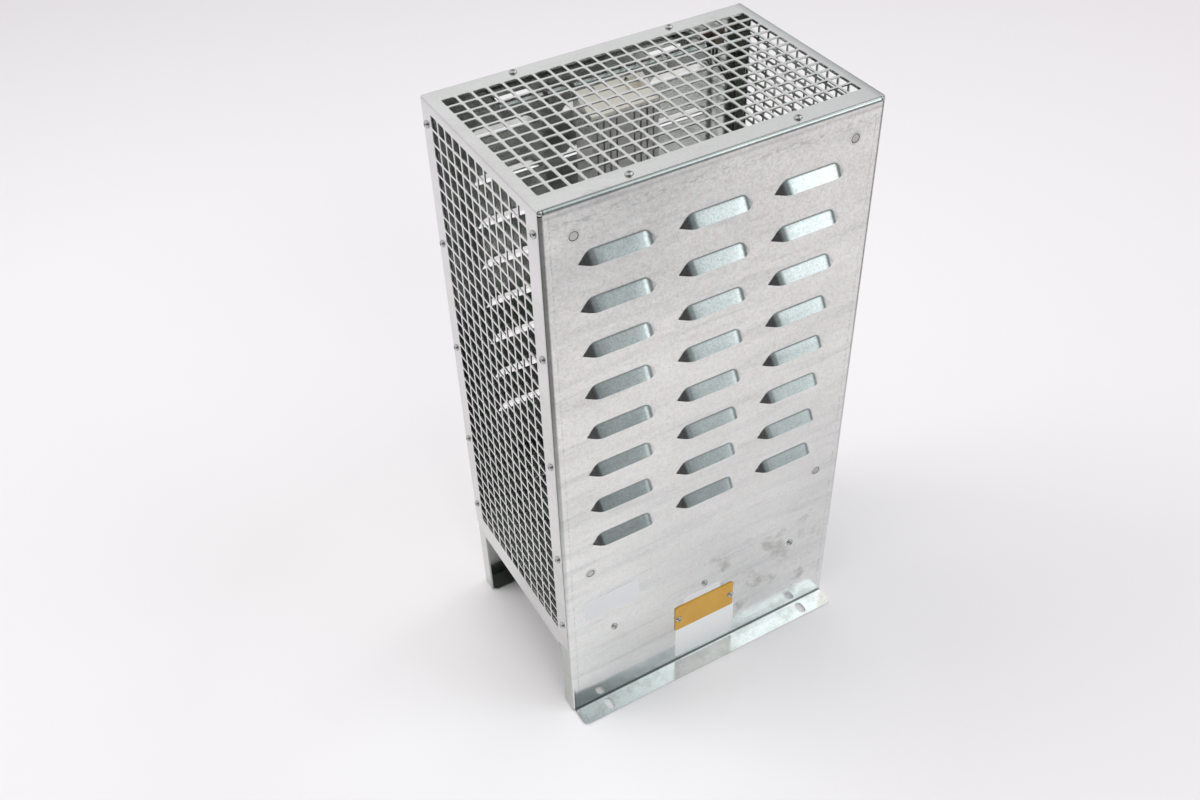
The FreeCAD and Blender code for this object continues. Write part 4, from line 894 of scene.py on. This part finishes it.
def zinc_sheet(name, dark, light, rough_low, rough_high):
    """Rolled zinc coating: cloudy patches, rolling bands, fine spangle and light scratches, with
    painted shade on the faces inside the box.
    """
    shader = Shader(name, Metallic=1.0)
    clouds = shader.noise(16.0, 6.0, 0.62, (0.7, 0.7, 1.6))
    bands = shader.noise(26.0, 4.0, 0.6, (0.35, 1.0, 3.0))
    spangle = shader.noise(420.0, 2.0, 0.5)
    scratches = shader.noise(900.0, 2.0, 0.4, (0.05, 0.05, 1.0), 0.4)
    darker = scaled(dark, 0.86)
    base = shader.mix(shader.spread(clouds, 0.35, 0.68), dark, light)
    base = shader.mix(shader.spread(bands, 0.52, 0.80, 0.0, 0.55), base, darker)
    base = shader.mix(shader.spread(spangle, 0.3, 0.7, 0.0, 0.22), base, scaled(light, 1.12))
    base = shader.mix(shader.spread(scratches, 0.70, 0.76, 0.0, 0.35), base, darker)
    # Painted shade: faces inside the box, under the top and within the sides, are darkened.
    under = shader.spread(shader.axis("Z"), BOX_HEIGHT - INSIDE_SOFT, BOX_HEIGHT - INSIDE_DEPTH)
    within = shader.spread(shader.math("ABSOLUTE", shader.axis("X")), HALF_WIDTH - INSIDE_SOFT,
                           HALF_WIDTH - INSIDE_DEPTH)
    base = shader.shade(base, (shader.product(under, within), INSIDE_SHADE_TONE))
    roughness = shader.spread(clouds, 0.3, 0.7, rough_low, rough_high)
    normal = shader.bump(bands, 0.25, 0.0006)
    normal = shader.bump(spangle, 0.12, 0.0002, normal)
    return shader.finish(base, roughness, normal)


def handled_and_low_shade(shader, base, grain, outside):
    """Grain, pits and scratches, which grow with height on the outside; and painted shade, darker
    and cooler towards the bottom.
    """
    up = shader.axis("Z")
    high = shader.product(shader.spread(up, *HANDLED_UP, 0.45, 1.0), outside)
    rough = shader.spread(grain, 0.42, 0.62)
    pits = shader.spread(shader.noise(780.0, 2.0, 0.5), 0.66, 0.72)
    scratches = shader.spread(shader.noise(110.0, 3.0, 0.6, (0.6, 1.0, 8.0), 0.8), 0.70, 0.74)
    # Painted shade: the last tint makes the sheet darker and cooler towards the bottom.
    return shader.shade(base, (shader.product(rough, high), (0.82, 0.82, 0.81)),
                        (shader.product(pits, high), (0.68, 0.68, 0.68)),
                        (shader.product(scratches, high), (0.78, 0.79, 0.80)),
                        (shader.spread(up, *LOW_SHADE_UP), (0.965, 0.967, 0.985)))


def patched_and_shaded(shader, base, clouds):
    """Painted shade on the upper left corner, in blotches; a rubbed band under the top edge and
    smudges at the lower right.
    """
    across = shader.axis("X")
    up = shader.axis("Z")
    # Painted shade: the upper left corner is darkened in blotches.
    dim_shade = shader.product(shader.spread(up, *DIM_SHADE_UP), shader.spread(across, *DIM_SHADE_ACROSS),
                         shader.spread(clouds, 0.34, 0.66, 1.0, 0.5))
    rubbed = shader.spread(shader.noise(420.0, 3.0, 0.7, (0.45, 1.0, 1.3)), 0.50, 0.60)
    rubbed = shader.product(rubbed, shader.band(up, *RUBBED_BAND, RUBBED_SOFT))
    smudges = shader.product(shader.spread(shader.noise(46.0, 5.0, 0.6), 0.54, 0.64),
                             shader.band(across, *SMUDGE_ACROSS, SMUDGE_SOFT),
                             shader.band(up, *SMUDGE_UP, SMUDGE_SOFT),
                             shader.spread(shader.axis("Y"), *FRONT_HALF))
    return shader.shade(base, (dim_shade, (0.72, 0.73, 0.74)), (rubbed, (0.78, 0.78, 0.78)),
                        (smudges, (0.72, 0.72, 0.70)))


def shaded_and_dotted(shader, base):
    """Painted reflection and shade along the bends: dark bands on the side bends, a dark crease at
    the foot, a dark line at the top bend and a faint dark band below it; and the row of faint dots
    beside the side bends.
    """
    up = shader.axis("Z")
    side = shader.math("ABSOLUTE", shader.axis("X"))
    dots = shader.spread(shader.noise(420.0, 2.0, 0.5), 0.42, 0.56)
    dots = shader.product(dots, shader.band(side, *DOT_BAND, DOT_SOFT))
    # Painted reflection: a dark band on each side bend, growing with height.
    bend = shader.product(shader.spread(side, *SIDE_BEND_SHADE), shader.spread(up, *SIDE_BEND_SHADE_UP))
    # Painted shade: a thin dark line in the crease between panel and foot.
    crease_shade = shader.product(shader.band(up, *CREASE_SHADE_UP, LINE_SOFT),
                            shader.band(shader.axis("Y"), *CREASE_SHADE_OUT, LINE_SOFT))
    # Painted reflection: a dark line where the top bend starts, and a faint dark band just below it
    # in place of a shallow dent.
    return shader.shade(base, (dots, (0.80, 0.80, 0.80)), (bend, (0.30, 0.30, 0.30)),
                        (crease_shade, (0.25, 0.26, 0.26)),
                        (shader.band(up, *TOP_BEND_SHADE, LINE_SOFT), (0.45, 0.45, 0.45)),
                        (shader.band(up, *PRESS_SHADE, PRESS_SOFT), (0.86, 0.86, 0.86)))


def foot_lit_shaded_and_stained(shader, base):
    """Foot flange: painted light brightens it to the right and painted shade dims it to the left,
    with stains.
    """
    across = shader.axis("X")
    foot = shader.spread(shader.axis("Z"), *FOOT_UP)
    # Painted light on the right of the foot, painted shade on its left.
    bright = shader.product(foot, shader.spread(across, *FOOT_LIGHT_ACROSS))
    dim_shade = shader.product(foot, shader.spread(across, *FOOT_SHADE_ACROSS))
    stains = shader.product(foot, shader.spread(shader.noise(75.0, 5.0, 0.6), 0.50, 0.62))
    return shader.shade(base, (bright, FOOT_LIGHT_TONE), (dim_shade, FOOT_SHADE_TONE),
                        (stains, (0.88, 0.875, 0.86)))


def panel_sheet(name):
    """Handled zinc sheet: clouds, rolling streaks, grain, pits, scratches, smudges and dots, with
    painted shade inside, at the upper left, towards the bottom and along the bends, and painted
    light and shade on the foot.
    """
    shader = Shader(name, Metallic=1.0)
    clouds = shader.noise(15.0, 6.0, 0.62, (0.7, 0.7, 1.3))
    streaks = shader.noise(34.0, 5.0, 0.65, (0.25, 1.0, 2.6), 0.3)
    grain = shader.noise(520.0, 4.0, 0.75)
    tint = shader.noise(230.0, 3.0, 0.6)
    inside = shader.band(shader.axis("Y"), FRONT_Y + INSIDE_DEPTH, REAR_Y - INSIDE_DEPTH,
                         INSIDE_SOFT)
    outside = shader.spread(inside, 1.0, 0.0)
    base = shader.mix(shader.spread(clouds, 0.34, 0.68), (0.785, 0.795, 0.772), (0.89, 0.9, 0.874))
    base = shader.shade(base, (shader.spread(streaks, 0.50, 0.74, 0.0, 0.9), (0.80, 0.805, 0.815)),
                        (shader.spread(tint, 0.45, 0.70, 0.0, 0.9), (0.985, 0.95, 0.92)))
    base = handled_and_low_shade(shader, base, grain, outside)
    base = shaded_and_dotted(shader, patched_and_shaded(shader, base, clouds))
    # Painted shade: the inner faces of the panel are darkened, before the painted light and shade
    # of the foot.
    base = foot_lit_shaded_and_stained(shader, shader.shade(base, (inside, INSIDE_SHADE_TONE)))
    roughness = shader.spread(clouds, 0.3, 0.7, 0.12, 0.22)
    normal = shader.bump(streaks, 0.07, 0.0006)
    normal = shader.bump(grain, 0.08, 0.00012, normal)
    return shader.finish(base, roughness, normal)


def metal(name, colour, roughness, grain=300.0, stretch=(1, 1, 1), strength=0.08):
    """Plain metal with a fine grain and a slight change of tone."""
    shader = Shader(name, Metallic=1.0)
    tone = shader.noise(grain * 0.1, 4.0, 0.6, stretch)
    fine = shader.noise(grain, 2.0, 0.5, stretch)
    base = shader.mix(shader.spread(tone, 0.3, 0.7), scaled(colour, 0.86), colour)
    rough = shader.spread(fine, 0.3, 0.7, roughness * 0.85, roughness * 1.2)
    return shader.finish(base, rough, shader.bump(fine, strength, 0.0002))


def dull(name, dark, light, roughness):
    """Ceramic, paper, rubber or cement: mottled colour over a fine grain."""
    shader = Shader(name)
    tone = shader.noise(24.0, 4.0, 0.6)
    fine = shader.noise(720.0, 2.0, 0.6)
    base = shader.mix(shader.spread(tone, 0.3, 0.7), dark, light)
    rough = shader.spread(fine, 0.3, 0.7, roughness * 0.9, min(1.0, roughness * 1.1))
    return shader.finish(base, rough, shader.bump(fine, 0.15, 0.0003))


def amber_lacquer():
    """Amber lacquer with slight mottling and dust."""
    shader = Shader("amber_lacquer", Coat_Weight=0.25, Coat_Roughness=0.2)
    tone = shader.noise(60.0, 4.0, 0.6)
    fine = shader.noise(900.0, 2.0, 0.5)
    base = shader.mix(shader.spread(tone, 0.3, 0.7), (0.675, 0.342, 0.022), (0.745, 0.405, 0.032))
    rough = shader.spread(fine, 0.3, 0.7, 0.32, 0.45)
    return shader.finish(base, rough, shader.bump(fine, 0.08, 0.0001))


def sleeve(name, dark, light):
    """Woven wire sleeve."""
    shader = Shader(name, Sheen_Weight=0.2)
    weave = shader.node("ShaderNodeTexWave", bands_direction="DIAGONAL")
    shader.feed(weave.inputs["Scale"], 700.0)
    shader.feed(weave.inputs["Distortion"], 2.0)
    shader.feed(weave.inputs["Vector"], shader.place)
    threads = weave.outputs["Fac"]
    return shader.finish(shader.mix(threads, dark, light), shader.spread(threads, 0, 1, 0.6, 0.8),
                         shader.bump(threads, 0.3, 0.0002))


def paint(piece, material):
    """Gives a piece or CAD node one material in every slot."""
    slots = piece.data.materials
    if not slots:
        slots.append(material)
    for index in range(len(slots)):
        slots[index] = material


def paint_nodes(material, *names):
    """Gives CAD nodes a material."""
    for name in names:
        paint(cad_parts[name], material)


def dress_mark(mark, metals):
    """Weld mark in sheet metal with a dark ring, a worn middle and a worn rim."""
    for material in metals:
        mark.data.materials.append(material)
    for face in mark.data.polygons:
        face.material_index = MARK_METALS[face.index // MARK_SIDES]


def dress_outside(screw_zinc):
    """Makes the pieces of the scene and gives them their materials."""
    panel_zinc = panel_sheet("zinc_panel")
    zinc = zinc_sheet("zinc_cover", (0.64, 0.64, 0.635), (0.73, 0.73, 0.725), 0.15, 0.26)
    paint(make_cover(), zinc)
    for panel in make_panels():
        paint(panel, panel_zinc)
    for piece in make_all_screws():
        paint(piece, screw_zinc)
    paint(make_plate(), amber_lacquer())
    paper = dull("label_paper", (0.82, 0.815, 0.82), (0.86, 0.855, 0.86), 0.55)
    foil = dull("label_foil", (0.95, 0.95, 0.945), (0.98, 0.98, 0.975), 0.4)
    for name, label, slot, material in (("label_upper", LABEL_UPPER, "cream_ceramic", paper),
                                        ("label_lower", LABEL_LOWER, None, foil),
                                        ("label_side", LABEL_SIDE, "cream_ceramic", paper)):
        paint(attach(flat_piece(name, FRONT_Y, PAPER, *label), slot), material)
    metals = (panel_zinc, metal("weld_ring", (0.20, 0.20, 0.19), 0.35),
              metal("weld_worn", (0.54, 0.545, 0.51), 0.28))
    for mark in make_marks():
        dress_mark(mark, metals)
    for side, name in ((-1, "corner_left"), (1, "corner_right")):
        paint(make_bead(name, side), zinc)


def dress_inside(screw_zinc):
    """Gives the CAD nodes inside the box their materials."""
    # Painted shade: the shelf, rails and terminal carrier get a darker copy of the box's zinc
    # colour.
    paint_nodes(metal("zinc_inner_painted_shade", (0.435, 0.45, 0.435), 0.26), "shelf", "rail_upper",
                "rail_lower", "terminal_carrier")
    paint_nodes(metal("bright_sheet", (0.74, 0.74, 0.73), 0.25), "bracket_upper", "bracket_lower")
    paint_nodes(screw_zinc, "bracket_screws_upper", "bracket_screws_lower", "switch_screws",
                "terminal_screws", "earth_stud", "earth_washer", "earth_nut")
    paint_nodes(metal("extruded_aluminium", (0.74, 0.74, 0.74), 0.34, 500.0, (1, 1, 0.05), 0.15),
                "resistor_housing")
    paint_nodes(dull("cream_ceramic", (0.79, 0.735, 0.65), (0.92, 0.87, 0.79), 0.75),
                "end_cap_top", "end_cap_bottom", "resistor_core")
    paint_nodes(dull("sand_cement", (0.45, 0.42, 0.36), (0.58, 0.54, 0.46), 0.9), "cement_fill")
    paint_nodes(metal("resistance_alloy", (0.45, 0.43, 0.41), 0.4, 900.0, (0.1, 0.1, 1)),
                "resistor_winding")
    paint_nodes(dull("white_ceramic", (0.78, 0.77, 0.73), (0.84, 0.83, 0.80), 0.25),
                "terminal_block")
    paint_nodes(metal("clamp_brass", (0.72, 0.53, 0.22), 0.28), "terminal_clamps")
    paint_nodes(dull("bushing_rubber", (0.02, 0.02, 0.02), (0.04, 0.04, 0.04), 0.6),
                "wire_bushings")
    paint_nodes(dull("switch_body", (0.10, 0.07, 0.05), (0.16, 0.11, 0.08), 0.4),
                "thermal_switch")
    paint_nodes(sleeve("lead_sleeve", (0.55, 0.50, 0.42), (0.74, 0.69, 0.60)), "lead_left",
                "lead_right")
    paint_nodes(sleeve("brown_wire", (0.035, 0.030, 0.026), (0.06, 0.05, 0.042)), "thermal_leads")


def make_floor():
    """Pale floor that carries the object's shadow, painted brighter near the foot and darker far
    away.
    """
    half = FLOOR_SIZE / 2
    corners = [(half * x, half * y, FLOOR_Z) for x, y in ((-1, -1), (1, -1), (1, 1), (-1, 1))]
    floor = mesh_piece("floor", corners, [(0, 1, 2, 3)], FLAT_CREASE)
    shader = Shader("floor_paper", Roughness=0.9)
    # Painted shade: the floor darkens far from the object.
    far = shader.spread(shader.measure("DISTANCE", FLOOR_MIDDLE), *FAR_FLOOR_SHADE)
    # Painted light: the floor brightens near the object's foot, which lightens its shadow.
    near = shader.spread(shader.measure("DISTANCE", NEAR_MIDDLE), *NEAR_FLOOR_LIGHT)
    far_shade = shader.product(far, shader.spread(shader.noise(1.5, 2.0, 0.5), 0, 1, 0.9, 1))
    colour = shader.mix(near, NEAR_FLOOR_LIT_COLOUR, FLOOR_COLOUR)
    paint(floor, shader.finish(shader.mix(far_shade, colour, FAR_FLOOR_SHADED_COLOUR)))


def dark_patch(studio):
    """Soft round patch on the horizon: one near its azimuth, falling to nothing outside."""
    azimuth = math.radians(DARK_AZIMUTH)
    middle = (math.cos(azimuth), math.sin(azimuth), 0.0)
    inner, outer = (math.cos(math.radians(angle)) for angle in DARK_SPREAD)
    return studio.rise(studio.measure("DOT_PRODUCT", middle), outer, inner)


def window_patch(studio):
    """Soft rectangle of window light, as a factor of azimuth and height."""
    height = studio.axis("Z")
    azimuth = studio.math("ARCTAN2", studio.axis("Y"), studio.axis("X"))
    leaned = studio.math("MULTIPLY_ADD", height, -WINDOW_LEAN, azimuth)
    left, full_left, full_right, right = (math.radians(angle) for angle in WINDOW_AZIMUTHS)
    low, full_low, full_high, high = (math.sin(math.radians(angle)) for angle in WINDOW_HEIGHTS)
    return studio.product(studio.rise(leaned, left, full_left),
                          studio.rise(azimuth, right, full_right),
                          studio.rise(height, low, full_low), studio.rise(height, high, full_high))


def make_surroundings():
    """Studio: bright ceiling, greyer walls, a tall window at the front right, a dark side."""
    world = bpy.data.worlds.new("studio")
    bpy.context.scene.world = world
    world.use_nodes = True
    studio = Nodes(world.node_tree, "Generated")
    ceiling = studio.rise(studio.measure("DOT_PRODUCT", CEILING_LEAN), *CEILING_RISE)
    colour = studio.mix(ceiling, WALL_COLOUR, CEILING_COLOUR)
    colour = studio.mix(dark_patch(studio), colour, DARK_COLOUR)
    colour = studio.mix(window_patch(studio), colour, WINDOW_COLOUR)
    sky = studio.tree.nodes["Background"]
    studio.feed(sky.inputs["Color"], colour)
    studio.feed(sky.inputs["Strength"], 1.0)


def add_lamp(name, place, size, power, glossy):
    """Square soft lamp aimed at the object, with or without its own highlight on metal."""
    lamp = bpy.data.lights.new(name, "AREA")
    lamp.shape = "SQUARE"
    lamp.size = size
    lamp.energy = power
    holder = bpy.data.objects.new(name, lamp)
    holder.location = place
    aim = LAMP_TARGET - Vector(place)
    holder.rotation_euler = aim.to_track_quat("-Z", "Y").to_euler()
    holder.visible_glossy = glossy
    bpy.context.scene.collection.objects.link(holder)


def make_camera():
    """Camera at the photograph's viewpoint."""
    camera = bpy.data.cameras.new("camera")
    camera.sensor_width = SENSOR_WIDTH
    camera.lens = LENS_PER_SENSOR * SENSOR_WIDTH
    camera.clip_start, camera.clip_end = CLIP_RANGE
    holder = bpy.data.objects.new("camera", camera)
    up = -VIEW_DOWN
    axes = Matrix((VIEW_RIGHT, up, VIEW_RIGHT.cross(up))).transposed()
    holder.matrix_world = Matrix.Translation(CAMERA_POINT) @ axes.to_4x4()
    bpy.context.scene.collection.objects.link(holder)
    bpy.context.scene.camera = holder


screw_metal = metal("zinc_screw", (0.56, 0.56, 0.55), 0.2)
dress_outside(screw_metal)
dress_inside(screw_metal)
make_floor()
make_surroundings()
for lamp_values in LAMPS:
    add_lamp(*lamp_values)
make_camera()
bpy.context.scene.view_settings.view_transform = "Standard"
